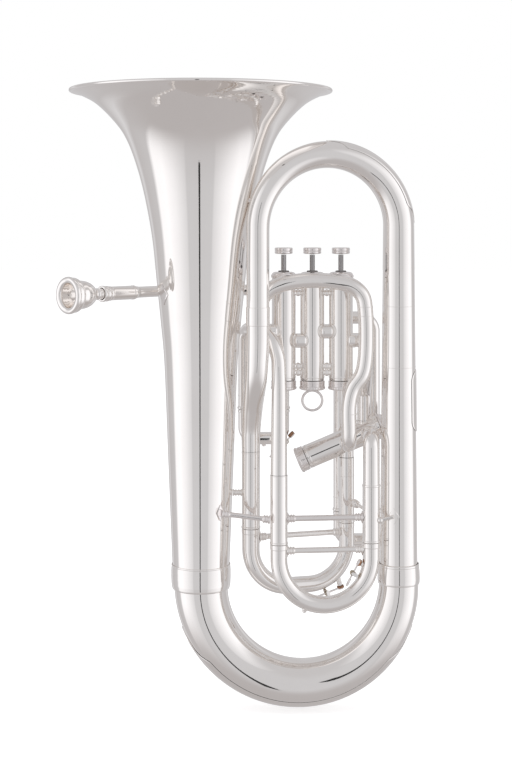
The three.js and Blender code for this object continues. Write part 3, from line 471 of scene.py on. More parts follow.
STUB_Y = 29.3  # where a tube meets a port at the back of a casing
FOURTH_FOOT = at(-1.65, 34, 279)
TILT = math.radians(23)
FOURTH_AXIS = at(math.cos(TILT), 0, math.sin(TILT))
LEADPIPE_Z = 480.0


def on_fourth(x):
    return FOURTH_FOOT + FOURTH_AXIS * ((x - FOURTH_FOOT.x) / FOURTH_AXIS.x)


def foot(leg, z):
    return at(leg[0], leg[1], z)


def between(left, right, z):
    return (foot(left, z) + foot(right, z)) / 2


# ---- bell, bows and branches

BELL_WALL = [
    (32.6, 151.3), (37.9, 285), (42.3, 396), (46.6, 446), (51, 489), (56.2, 541),
    (64.5, 588), (74.2, 625.6), (85.8, 656.5), (99.4, 677), (122.6, 699.6), (147.6, 712.4),
]


def catmull(points, place):
    """A point of the smooth curve through (radius, height) pairs."""
    index = min(int(place), len(points) - 2)
    t = place - index
    p1, p2 = Vector(points[index]), Vector(points[index + 1])
    p0 = Vector(points[max(index - 1, 0)])
    p3 = Vector(points[min(index + 2, len(points) - 1)])
    v0, v1 = (p2 - p0) / 2, (p3 - p1) / 2
    return (2 * p1 - 2 * p2 + v0 + v1) * t ** 3 + (3 * p2 - 3 * p1 - 2 * v0 - v1) * t * t + v0 * t + p1


def make_bell():
    steps = 132
    wall = [catmull(BELL_WALL, i / steps * (len(BELL_WALL) - 1)) for i in range(steps + 1)]
    inside = []
    for i, point in enumerate(wall):
        along = (wall[min(i + 1, steps)] - wall[max(i - 1, 0)]).normalized()
        inside.append((point.x - 0.8 * along.y, point.y + 0.8 * along.x))
    bead = []
    for k in range(17):
        angle = math.radians(-120 + 240 * k / 16)
        bead.append((150.6 + 1.9 * math.cos(angle), 713.7 + 1.9 * math.sin(angle)))
    outline = [tuple(p) for p in wall] + bead + [(148.2, 714.4)] + inside[::-1]
    shape = Shape().turned(outline, BELL_FOOT, sides=144, smooth=0)
    piece("bell_shell", shape, nodes=["bell"], sharp=50)

    seam = Shape().band(at(BELL_X, 0, 163.2), UP, 33.1, 1.6, 0.35, 96)
    piece("bell_seams", seam)

    ferrule = Shape().turned([
        (32.2, 137.6), (32.9, 137.7), (33.5, 139.4), (34.2, 144), (34.5, 151), (34.5, 159), (34.2, 163.6),
        (33.9, 164.2), (34.3, 164.8), (34.2, 166), (33.5, 166.2), (33.05, 151),
    ], BELL_FOOT, sides=96, smooth=0.8)
    piece("bell_ferrule_ring", ferrule, nodes=["bell_ferrule"])


def tongue(ends, full):
    """Half width of a guard plate whose two ends are pointed tongues over a share of its length."""

    def width(share):
        t = min(share, 1 - share) / ends
        if t >= 1:
            return full
        rise = max(0.0, (t - 0.55) / 0.45)
        return full * (0.62 * t ** 0.55 + 0.38 * rise * rise * (3 - 2 * rise))

    return width


def blunt(ends, full):
    """Half width of a guard plate with rounded ends."""

    def width(share):
        t = min(1.0, min(share, 1 - share) / ends)
        return full * math.sqrt(max(0.0, 1 - (1 - t) ** 2)) * 0.7 + full * 0.3 * t ** 0.3

    return width


def make_bows():
    bow = linear(31.2, 22.6)
    arc = bow_arc(BELL_FOOT, BRANCH_FOOT, BOW_Z, 180, 360, 72)
    points = [BELL_FOOT + UP * 150.7, *arc, BRANCH_FOOT + UP * 153.7]
    piece("bottom_bow_tube", Shape().tube(points, bow, sides=80), nodes=["bottom_bow"])

    arc = bow_arc(BELL_FOOT, BRANCH_FOOT, BOW_Z, 200, 340, 140)
    shape = Shape().plate(arc, lambda s: bow((20 + 140 * s) / 180), Y_AXIS, tongue(0.145, 0.86), 0.8)
    piece("bottom_bow_plate", shape, nodes=["bottom_bow_guard"])

    ferrule = Shape().turned([
        (23.3, 143.2), (23.9, 143.4), (24.4, 145.5), (24.6, 149), (24.3, 156), (23.8, 163), (23.5, 163.8),
        (23.9, 164.4), (23.7, 166.4), (22.6, 167), (22.4, 155), (23.1, 153),
    ], BRANCH_FOOT, sides=80, smooth=0.8)
    piece("branch_ferrule_ring", ferrule, nodes=["branch_ferrule"])

    branch_low, branch_top = 154, 554

    def branch_r(z):
        return 21.9 + (18 - 21.9) * (z - branch_low) / (TOP_BOW_Z - branch_low)

    foot_z = branch_low + GAP
    branch = [at(BRANCH_X, 0, foot_z + (branch_top - foot_z) * k / 12) for k in range(13)]
    shape = Shape().tube(branch, linear(21.9, 17.97), sides=64)
    for z in (393.9, 464.4):
        shape.band(at(BRANCH_X, 0, z), UP, branch_r(z), 0.7, 0.25)
    piece("outer_branch_tube", shape, nodes=["outer_branch"])

    guard_z, guard_height = 319, 72
    column = [at(BRANCH_X, 0, guard_z + guard_height * k / 40) for k in range(41)]
    guard_r = linear(branch_r(guard_z), branch_r(guard_z + guard_height))
    shape = Shape().plate(column, guard_r, Y_AXIS, blunt(0.16, 0.8), 0.6)
    piece("hand_guard_plate", shape, nodes=["hand_guard"])

    across = BRANCH_FOOT - INNER_FOOT
    normal = across.cross(UP).normalized()
    top = linear(13, 18)
    end = UP * (TOP_BOW_Z - 4)
    points = [INNER_FOOT + end, *bow_arc(INNER_FOOT, BRANCH_FOOT, TOP_BOW_Z, 180, 0, 64), BRANCH_FOOT + end]
    shape = Shape().tube(points, top, sides=64, normal=normal)
    piece("top_bow_tube", shape, nodes=["top_bow"])

    arc = bow_arc(INNER_FOOT, BRANCH_FOOT, TOP_BOW_Z, 92, 2, 80)
    shape = Shape().plate(arc, lambda s: top(0.5 + 0.5 * s), normal, tongue(0.16, 1.0), 0.6, lift=0.1)
    piece("top_bow_plate", shape, nodes=["top_bow_guard"])

    shape = Shape().tube([INNER_FOOT + UP * z for z in (branch_top, 500, 454.8)], 12.98, sides=64)
    piece("inner_branch_tube", shape, nodes=["inner_branch"])
    shape = Shape().turned([
        (13.1, 444), (13.5, 444.2), (13.7, 445), (13.55, 445.8), (13.5, 447.4), (13.5, 462.4),
        (13.55, 463.4), (13.7, 464.2), (13.5, 465), (13.1, 465),
    ], INNER_FOOT, sides=56, smooth=0.5)
    piece("inner_branch_ring", shape, nodes=["inner_branch_ferrule"])


# ---- tubes through stations


def centripetal(points, place):
    """A point of the smooth curve through unevenly spaced points."""
    index = min(int(place), len(points) - 2)
    t = place - index
    p1, p2 = points[index], points[index + 1]
    p0 = points[index - 1] if index > 0 else p1 * 2 - p2
    p3 = points[index + 2] if index + 2 < len(points) else p2 * 2 - p1
    d0, d1, d2 = (math.sqrt((b - a).length) for a, b in ((p0, p1), (p1, p2), (p2, p3)))
    t1 = ((p1 - p0) / d0 - (p2 - p0) / (d0 + d1) + (p2 - p1) / d1) * d1
    t2 = ((p2 - p1) / d1 - (p3 - p1) / (d1 + d2) + (p3 - p2) / d2) * d1
    return p1 + t1 * t + (p2 * 3 - p1 * 3 - t1 * 2 - t2) * t ** 2 + (p1 * 2 - p2 * 2 + t1 + t2) * t ** 3


def station_tube(shape, stations, sides):
    """A tube through (x, y, z, radius) stations."""
    per_station = 10
    points = [at(*s[:3]) for s in stations]
    count = (len(stations) - 1) * per_station
    path = []
    radii = []
    for i in range(count + 1):
        place = i / per_station
        index = min(int(place), len(stations) - 2)
        t = place - index
        ease = t * t * (3 - 2 * t)
        path.append(centripetal(points, place))
        radii.append(stations[index][3] + (stations[index + 1][3] - stations[index][3]) * ease)
    shares = [station[3] for station in frames(path, Y_AXIS)]
    lookup = dict(zip(shares, radii))
    shape.tube(path, lambda share: lookup[share], sides=sides)


def sleeve(shape, leg, low, high, lines=()):
    """A slide's outer tube with a slim rolled lower end and fine ferrule lines."""
    x, y, r = leg
    shape.tube([at(x, y, low), at(x, y, (low + high) / 2), at(x, y, high)], r, sides=44)
    shape.turned([
        (r - 0.6, 0), (r + 0.3, 0), (r + 0.7, 0.6), (r + 0.7, 1.4), (r + 0.35, 2.0), (r + 0.1, 2.6),
        (r - 0.4, 2.7),
    ], at(x, y, low), sides=44, smooth=0.4)
    for z in lines:
        shape.band(at(x, y, z), UP, r, 0.9, 0.3, 44)


def crook_path(left, right, shoulder, bottom, bend, steps):
    corners = [foot(left, shoulder), foot(left, bottom), foot(right, bottom), foot(right, shoulder)]
    return route(corners, bend, steps)


def crook(shape, left, right, shoulder, bottom, bend, normal):
    """The bend that joins a slide's two legs."""
    path = crook_path(left, right, shoulder, bottom, bend, 40)
    shape.tube(path, linear(left[2] - 0.2, right[2] - 0.2), sides=44, normal=normal)
    for x, y, r in (left, right):
        shape.turned([
            (r - 1.3, -6), (r - 0.1, -6), (r + 0.2, -5), (r + 0.2, -1), (r - 0.1, 0), (r - 1.3, 0),
        ], at(x, y, shoulder), sides=44, smooth=0.4)


def slide_legs(name, legs, low, high, inset, body):
    shape = Shape()
    for x, y, r in legs:
        shape.tube([at(x, y, low), at(x, y, high)], r - inset, sides=36)
    piece(name, shape, INNER, body)


def across_of(left, right):
    return (foot(right, 0) - foot(left, 0)).normalized()


def stay_between(shape, left, right, z, inset=0.3):
    """A stay with a wrapped foot plate on each of a slide's two legs."""
    along = across_of(left, right)
    shape.stay(foot(left, z) + along * (left[2] - inset), foot(right, z) - along * (right[2] - inset))
    for leg, inwards in ((left, along), (right, -along)):
        shape.flange(foot(leg, z), UP, inwards, leg[2] - min(inset, 0), 14, 0.55)


# ---- water keys


def saddle(shape, hinge, across, along, face, lift, length):
    """The two upright cheeks that hold a water key's hinge."""
    for side in (-1, 1):
        shape.block(hinge + across * (side * 6.1) + face * lift, face, along, (length, 4, 1.0))


def water_key(which, hinge, along, face, reach, tail, cup_lift):
    """A lever with a cup and cork at one end, its hinge barrel, and a finger plate at the other."""
    across = face.cross(along)
    name, body = which + "_key", which + "_key_body"
    shape = Shape()
    middle = hinge + along * ((reach - tail) / 2) + face * 0.6
    shape.block(middle, along, across, (reach + tail, 3.4, 1.5))
    shape.block(hinge - along * (tail - 1.5) + face * 0.9, along, across, (10.5, 7.6, 1.3))
    shape.rod(hinge - across * 4.4, hinge + across * 4.4, 2.1, 28)
    for side in (-1, 1):
        shape.ball(hinge + across * (side * 5.0), 1.5)
    cup = hinge + along * reach
    shape.turned([
        (0, -1), (3.4, -1), (4.2, -0.4), (4.2, 0.5), (3.8, 0.5), (0, 0.5),
    ], cup, face, 36, smooth=0.3)
    piece(name + "_lever", shape, TRIM, body, [which + "_water_key"])
    pad = Shape().turned([
        (0, 0), (4.0, 0), (4.1, 0.6), (4.1, cup_lift - 0.5), (3.8, cup_lift), (0, cup_lift),
    ], cup, face, 36, smooth=0.3)
    piece(name + "_cork", pad, CORK, body)
    turns, steps, coil_r, coil_length = 4, 60, 2.7, 7.2
    wire_path = []
    for k in range(steps + 1):
        angle = 2 * math.pi * turns * k / steps
        out = along * (coil_r * math.cos(angle)) + face * (coil_r * math.sin(angle))
        wire_path.append(hinge + across * (coil_length * (k / steps - 0.5)) + out)
    coil = Shape().tube(wire_path, 0.35, wall=0, sides=8, normal=across)
    piece(name + "_spring", coil, SPRING, body)


# ---- main tuning slide

MAIN_ALONG = across_of(MAIN_LEFT, MAIN_RIGHT)
MAIN_NORMAL = MAIN_ALONG.cross(UP).normalized()
MAIN_RIGHT_TOP = on_fourth(56.35).z - 20
MAIN_SLEEVE_Z = 207
MAIN_CROOK_Z = 137


def make_main_slide():
    shape = Shape()
    station_tube(shape, [
        (-48.65, -35, 454.2, 13), (-48.65, -35, 422, 12.9), (-50.4, -29, 386, 12.4),
        (-55, -9, 346, 11.7), (-56.8, 0, 318, 11), (-56.8, 0, 306, 10.8), (-56.8, 0, 296.3, 10.6),
    ], sides=48)
    piece("slide_lead_bend", shape, nodes=["slide_lead_tube"])

    left = Shape()
    sleeve(left, MAIN_LEFT, MAIN_SLEEVE_Z, 296, (294.5,))
    stay_z = 248
    towards = at(BELL_X - MAIN_LEFT[0], -MAIN_LEFT[1], 0).normalized()
    bell_r = 32.6 + (42.3 - 32.6) * (stay_z - 151) / (396 - 151)
    start = foot(MAIN_LEFT, stay_z) + towards * (MAIN_LEFT[2] - GAP)
    left.stay(start, at(BELL_X, 0, stay_z) - towards * (bell_r + GAP))
    piece("main_sleeve_left", left, nodes=["main_slide_sleeve_left"])

    right = Shape()
    sleeve(right, MAIN_RIGHT, MAIN_SLEEVE_Z, MAIN_RIGHT_TOP, (262,))
    right.stay(at(65.2, 30.6, 230), at(80.6, -5, 226.5), 2.0)
    piece("main_sleeve_right", right, nodes=["main_slide_sleeve_right"])

    shape = Shape()
    crook(shape, MAIN_LEFT, MAIN_RIGHT, MAIN_SLEEVE_Z - 0.5, MAIN_CROOK_Z, 46, MAIN_NORMAL)
    stay_between(shape, MAIN_LEFT, MAIN_RIGHT, 196)
    hinge = between(MAIN_LEFT, MAIN_RIGHT, MAIN_CROOK_Z) + MAIN_ALONG * 34.6 - UP * 12.7
    tilt = math.radians(17)
    along = MAIN_ALONG * math.cos(tilt) + UP * math.sin(tilt)
    face = UP * math.cos(tilt) - MAIN_ALONG * math.sin(tilt)
    cup = hinge + along * 18
    shape.rod(cup + face * 3.3, cup + face * 13, 3, 28)
    saddle(shape, hinge, along.cross(face), along, face, 1.5, 7)
    piece("main_slide_crook", shape, PLATE, "main_slide_body", ["main_tuning_slide"])
    slide_legs("main_slide_legs", (MAIN_LEFT, MAIN_RIGHT), MAIN_SLEEVE_Z - 5, 274, 1.1, "main_slide_body")
    water_key("main", hinge, along, face, 18, 18, 3)


# ---- valves


def back_stub(shape, x, z, r, end=29.0):
    """A port at the back of a casing, with its ferrule."""
    shape.tube([at(x, VALVE_Y + 12, z), at(x, end, z)], r, sides=32, normal=UP)
    shape.band(at(x, end - 1.2, z), Y_AXIS, r, 2.0, 0.5, 32)


def side_stub(shape, x, z, reach):
    start = x + math.copysign(11, reach)
    shape.tube([at(start, VALVE_Y, z), at(x + reach, VALVE_Y, z)], PORT_R, sides=36, normal=UP)


def barrel(shape, x, z, reach, y=VALVE_Y - 9):
    """A port's bulge between two casings: a fat drum with round ends."""
    r = 8.5
    straight = reach * 0.4
    ends = reach - straight
    half = []
    for k in range(13):
        angle = math.pi / 2 * k / 12
        half.append((2.5 + (r - 2.5) * math.cos(angle), straight + ends * math.sin(angle)))
    outline = [(0, -reach)] + [(radius, -height) for radius, height in reversed(half)] + half + [(0, reach)]
    shape.turned(outline, at(x, y, z), X_AXIS, 44, smooth=0)


def back_loop(shape, x, high, low):
    """A compensating loop behind its casing."""
    start, back = VALVE_Y + 11, 43
    corners = [at(x, start, high), at(x, back, high), at(x, back, low), at(x, start, low)]
    shape.tube(route(corners, (high - low) / 2 - 0.05, 18), 5.5, sides=28, normal=X_AXIS)


def casing_shell(shape, foot_point, axis, length):
    outline = [
        (12.6, 0), (13.7, 0), (14.0, 0.4), (14.0, 2.4), (14.35, 2.9), (14.35, 4.3), (14.0, 4.8),
        (14.0, length - 6.4), (14.35, length - 5.9), (14.35, length - 4.4), (14.0, length - 3.9),
        (14.0, length - 0.4), (13.7, length), (12.6, length),
    ]
    shape.turned(outline, foot_point, axis, 64, smooth=0.4)


def post(shape, left_x, right_x, z):
    """A beaded spool soldered between two casings."""
    reach = (right_x - left_x) / 2 - 12.1
    half = [
        (4.3, 0), (4.0, reach * 0.3), (3.0, reach * 0.5), (3.0, reach * 0.6), (3.6, reach * 0.8),
        (3.3, reach),
    ]
    outline = [(0, -reach)] + [(r, -h) for r, h in reversed(half[1:])] + half + [(0, reach)]
    shape.turned(outline, at((left_x + right_x) / 2, VALVE_Y - 5, z), X_AXIS, 28, smooth=0.4)


def make_furniture(number, foot_point, axis, casing_length, piston_length):
    """Caps, piston, stem, spring, felt and button of one valve. The foot is the bottom cap's end."""

    def along(distance):
        return foot_point + axis * distance

    play, top_cap_height, stem_out = 3, 7, 20
    casing_top = CAP_STEP + casing_length
    piston_foot = casing_top - play - piston_length
    button_foot = casing_top + GAP + top_cap_height + stem_out
    cap = Shape().turned([
        (2, 0), (11.6, 0), (13.6, 0.4), (14.8, 1.2), (15.2, 2.0), (15.2, 3.4), (14.8, 4.0), (14.4, 4.3),
        (14.4, 10.8), (14.3, 11), (12.6, 11), (12.6, 3), (2, 3),
    ], foot_point, axis, 144, knurl=(36, 0.3, 1.6, 3.8), smooth=0.35)
    for distance in (5.9, 8.0, 9.7):
        cap.band(along(distance), axis, 14.4, 1.0, 0.4, 64)
    piece(f"bottom_cap_{number}_knurled", cap, TRIM, nodes=[f"bottom_cap_{number}"])

    cap = Shape().turned([
        (3.3, 0), (14.3, 0), (14.9, 0.5), (14.9, 3.0), (14.2, 3.6), (13.9, 4.6), (12.4, 6.2), (10.4, 6.9),
        (6.5, 7), (5.6, 6.5), (3.3, 6.5),
    ], along(casing_top + GAP), axis, 144, knurl=(36, 0.3, 0.4, 3.1), smooth=0.35)
    piece(f"top_cap_{number}_knurled", cap, TRIM, nodes=[f"top_cap_{number}"])

    r, stem_r, centre_r = 12.3, 3.0, 0.02
    stem_top = button_foot - GAP - piston_foot
    body = Shape().turned([
        (r - 2.2, 0), (r - 0.4, 0), (r, 0.5), (r, piston_length - 0.5), (r - 0.5, piston_length),
        (stem_r + 0.2, piston_length), (stem_r, piston_length + 0.6), (stem_r, stem_top),
        (centre_r, stem_top), (centre_r, piston_length - 2), (r - 2.2, piston_length - 2),
    ], along(piston_foot), axis, 56, smooth=0.2)
    piece(f"piston_{number}_body", body, STEEL, f"valve_{number}", [f"piston_{number}"])

    ring = Shape().turned([
        (3.05, 0), (6.2, 0), (6.4, 0.4), (6.4, 1.2), (6.1, 1.6), (3.05, 1.6),
    ], along(casing_top + 7.1), axis, 40, smooth=0.3)
    piece(f"button_{number}_felt", ring, FELT)
    top = Shape().turned([
        (0, 0.4), (3.6, 0.4), (4.0, 0.7), (9.4, 1.0), (10.3, 1.5), (10.5, 2.2), (10.5, 3.5), (10.15, 3.9),
        (10.15, 4.3), (10.5, 4.7), (10.5, 7.2), (10.2, 7.9), (9.4, 8.2), (8.6, 8.1), (8.2, 7.7), (4, 7.4),
        (0, 7.3),
    ], along(button_foot), axis, 64, smooth=0.4)
    piece(f"button_{number}_disc", top, TRIM, f"valve_{number}", [f"button_{number}"])

    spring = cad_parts[f"spring_{number}"]
    spring.data.materials.clear()
    spring.data.materials.append(SPRING)


def make_valves():
    x1, x2, x3 = VALVE_X
    casings = {1: Shape(), 2: Shape(), 3: Shape()}
    for number, x in zip((1, 2, 3), VALVE_X):
        casing_shell(casings[number], at(x, VALVE_Y, CAP_FOOT_Z + CAP_STEP), UP, CASING_LENGTH)
    side_stub(casings[1], x1, KNUCKLE_HIGH_Z, -18)
    barrel(casings[1], x1 - 12.8, KNUCKLE_HIGH_Z, 7)
    barrel(casings[1], (x1 + x2) / 2 + 2.6, KNUCKLE_LOW_Z, 9)
    back_stub(casings[1], x1, LEADPIPE_Z, 7.1)
    back_loop(casings[1], x1, 460, 436)
    back_stub(casings[1], x1, FIRST_PORT_Z, SMALL_R)
    barrel(casings[2], (x2 + x3) / 2, KNUCKLE_HIGH_Z, 9)
    back_loop(casings[2], x2, 472, 448)
    for z in SECOND_PORTS_Z:
        back_stub(casings[2], x2, z, SMALL_R, 50)
    side_stub(casings[3], x3, KNUCKLE_LOW_Z, 15.5)
    barrel(casings[3], x3 + 13, KNUCKLE_LOW_Z, 6.5, VALVE_Y - 4)
    back_loop(casings[3], x3, 486, 466)
    for z in THIRD_PORTS_Z:
        back_stub(casings[3], x3, z, SMALL_R)
    for left, right, number in ((x1, x2, 1), (x2, x3, 2)):
        for z in (479.5, 394, 386.5):
            post(casings[number], left, right, z)
    for number in (1, 2, 3):
        piece(f"casing_{number}_shell", casings[number], nodes=[f"valve_casing_{number}"])
        make_furniture(number, at(VALVE_X[number - 1], VALVE_Y, CAP_FOOT_Z), UP, CASING_LENGTH, 85)

    ring_r, wire_r = 11.6, 1.5
    centre = at(x2, VALVE_Y, CAP_FOOT_Z - ring_r - 0.8)
    rings = []
    for point in ring_round(centre, X_AXIS, UP, ring_r, 72):
        rings.append(ring_round(point, (point - centre).normalized(), Y_AXIS, wire_r, 16))
    piece("finger_ring_wire", Shape().loft(rings, loop=True), TRIM, nodes=["finger_ring"])


def make_fourth_valve():
    shape = Shape()
    casing_shell(shape, FOURTH_FOOT + FOURTH_AXIS * CAP_STEP, FOURTH_AXIS, FOURTH_CASING_LENGTH)
    link = on_fourth(LINK_X)
    main = on_fourth(MAIN_RIGHT[0])
    shape.tube([link + UP * 8, link + UP * 14.7], PORT_R, sides=36, normal=Y_AXIS)
    shape.band(link + UP * 14, UP, PORT_R, 2, 0.7, 36)
    shape.tube([main - UP * 8, main - UP * 19.5], 8.4, sides=36, normal=Y_AXIS)
    for port in (on_fourth(LOOP_X), on_fourth(FOURTH_RIGHT[0])):
        shape.tube([port - Y_AXIS * 8, port - Y_AXIS * 17], LOOP_R, sides=36, normal=UP)
        shape.band(port - Y_AXIS * 15.4, Y_AXIS, LOOP_R, 2.2, 0.6, 36)
    piece("casing_4_shell", shape, nodes=["valve_casing_4"])
    make_furniture(4, FOURTH_FOOT, FOURTH_AXIS, FOURTH_CASING_LENGTH, 64)

    path = route([
        at(VALVE_X[2] + 15.8, VALVE_Y, KNUCKLE_LOW_Z), at(LINK_X, VALVE_Y, KNUCKLE_LOW_Z),
        at(LINK_X, VALVE_Y, 385), at(LINK_X, link.y, 360), link + UP * 15.2,
    ], [10, 14, 14], 20)
    piece("valve_link_bend", Shape().tube(path, PORT_R, sides=36), nodes=["valve_link_tube"])


# ---- fourth valve loop and slide

FOURTH_ALONG = across_of(FOURTH_LEFT, FOURTH_RIGHT)
FOURTH_NORMAL = FOURTH_ALONG.cross(UP).normalized()
NUB_TURN = math.radians(22)  # the crook's nub, left of its lowest point
FOURTH_SLEEVE_Z = 194
FOURTH_CROOK_Z = 123


def make_fourth_loop():
    start = on_fourth(LOOP_X).z
    rise_x = 75
    stations = [(LOOP_X, y, z, LOOP_R) for y, z in (
        (PORT_END_Y, start), (2, start), (-8.5, start + 4.5), (LOOP_Y, start + 17), (LOOP_Y, 352),
    )]
    stations += [(x, LOOP_Y, z, LOOP_R) for x, z in (
        (60.5, 370), (71, 386), (rise_x, 404), (rise_x, 460), (71.5, 477), (60, 488), (38, 493.2), (8, 494.6),
        (-20.9, 490),
    )]
    stations += [
        (-35.8, -12.4, 483, LOOP_R), (-45, -11, 470, 8.8), (-45.5, -10.6, 452, 8.6), (-42.5, -12, 438, 8.4),
        (-31.5, -19.6, 422, 8.3), (-26, -23.2, 408, 8.3), (*FOURTH_LEFT[:2], 390, 8.5),
        (*FOURTH_LEFT[:2], 273.3, 9.5),
    ]
    shape = Shape()
    station_tube(shape, stations, 44)
    for x, z in ((rise_x, 464.2), (rise_x, 453.7), (LOOP_X, 330), (LOOP_X, 341)):
        shape.band(at(x, LOOP_Y, z), UP, LOOP_R, 0.9, 0.35, 44)
    piece("crossover_bend", shape, nodes=["crossover_tube"])

    left = Shape()
    sleeve(left, FOURTH_LEFT, FOURTH_SLEEVE_Z, 273, (272,))
    piece("fourth_sleeve_left", left, nodes=["fourth_slide_sleeve_left"])

    right = Shape()
    sleeve(right, FOURTH_RIGHT, FOURTH_SLEEVE_Z, 259)
    out = at(-0.36, -0.93, 0).normalized()
    middle = at(BRANCH_X, 0, 224)
    root = at(90, -20.2, 219.5)
    right.rod(root, middle + out * 22.4, 2.2)
    right.ball(root + at(1.5, 0, 0.4), 3.6)
    right.flange(middle, UP, out, 20.9, 20, 0.32)
    goose_z = on_fourth(FOURTH_RIGHT[0]).z
    corners = [foot(FOURTH_RIGHT, 255), foot(FOURTH_RIGHT, goose_z), at(FOURTH_RIGHT[0], PORT_END_Y, goose_z)]
    right.tube(route(corners, 14, 24), linear(9.8, LOOP_R), 1.0, 44, FOURTH_NORMAL)
    right.band(foot(FOURTH_RIGHT, 259), UP, 10.0, 2.4, 0.6, 44)
    piece("fourth_sleeve_right", right, nodes=["fourth_slide_sleeve_right"])

    stay = Shape()
    stay_between(stay, FOURTH_LEFT, FOURTH_RIGHT, 222.7, -0.2)
    piece("fourth_sleeve_stay", stay, TRIM, nodes=["fourth_slide_stay"])

    bend = (foot(FOURTH_RIGHT, 0) - foot(FOURTH_LEFT, 0)).length / 2 - 0.05
    shape = Shape()
    crook(shape, FOURTH_LEFT, FOURTH_RIGHT, FOURTH_SLEEVE_Z - 0.5, FOURTH_CROOK_Z, bend, FOURTH_NORMAL)
    stay_between(shape, FOURTH_LEFT, FOURTH_RIGHT, 186)
    bend_centre = between(FOURTH_LEFT, FOURTH_RIGHT, FOURTH_CROOK_Z) + UP * bend
    down = UP * -math.cos(NUB_TURN) - FOURTH_ALONG * math.sin(NUB_TURN)
    shape.turned([(0, 0), (3.2, 0), (3.2, 1.8), (2.2, 2.8), (2.4, 4), (2.0, 5), (0, 5)],
                 bend_centre + down * (bend + 8.2), down, 28, smooth=0.4)
    angle = math.radians(-29)
    face = FOURTH_ALONG * math.cos(angle) + UP * math.sin(angle)
    along = -FOURTH_ALONG * math.sin(angle) + UP * math.cos(angle)
    hinge = bend_centre + face * 36.3
    saddle(shape, hinge, along.cross(face), along, face, 2.2, 8)
    cup = hinge + along * 14
    shape.rod(cup + face * 3.2, cup + face * 9, 3, 28)
    piece("fourth_slide_crook", shape, PLATE, "fourth_slide_body", ["fourth_slide"])
    slide_legs("fourth_slide_legs", (FOURTH_LEFT, FOURTH_RIGHT), 189, 250, 1.1, "fourth_slide_body")
    water_key("fourth", hinge, along, face, 14, 13, 2.6)

    start = at(-89, -31.2, 229.7)
    stay = Shape().stay(start, at(-34.6, -32.6, 223), 2.9)
    out = at(start.x - BELL_X, start.y, 0).normalized()
    stay.diamond(start - out * 4.4, UP.cross(out), UP, 10, 20)
    piece("bell_front_stay", stay, TRIM, nodes=["bell_stay"])


# ---- first, second and third slides


def turned_down(name, corners, bends, node):
    """An outer tube that comes from a port, turns down and ends in a rolled bead."""
    end = corners[-1]
    shape = Shape().tube(route(corners, bends, 18), SMALL_R, sides=36)
    shape.turned([(6.9, 0), (8.2, 0), (8.7, 0.8), (8.7, 2.0), (8.2, 2.8), (7.7, 3.6), (7.2, 3.6)],
                 end, UP, 36, smooth=0.4)
    shape.band(end + UP * 16, UP, SMALL_R, 0.9, 0.35, 36)
    piece(name, shape, nodes=[node])


def small_slide(shape, node, left, right, shoulder, bottom, leg_top):
    """A slide of one of the first and third valves: crook, grip and inner legs."""
    shape.tube(crook_path(left, right, shoulder, bottom, 13, 20), SMALL_R, sides=36)
    for x, y, r in (left, right):
        shape.band(at(x, y, shoulder - 2), UP, r, 3, 0.6, 36)
    shape.turned([(0, 0), (2.2, 0), (2.6, 0.8), (2.2, 1.8), (3.2, 2.6), (3.4, 4), (0, 4)],
                 between(left, right, bottom) - UP * 9.8, UP, 28, smooth=0.4)
    body = node + "_body"
    piece(node + "_crook", shape, PLATE, body, [node])
    slide_legs(node + "_crook_legs", (left, right), shoulder - 3, leg_top, 1.6, body)


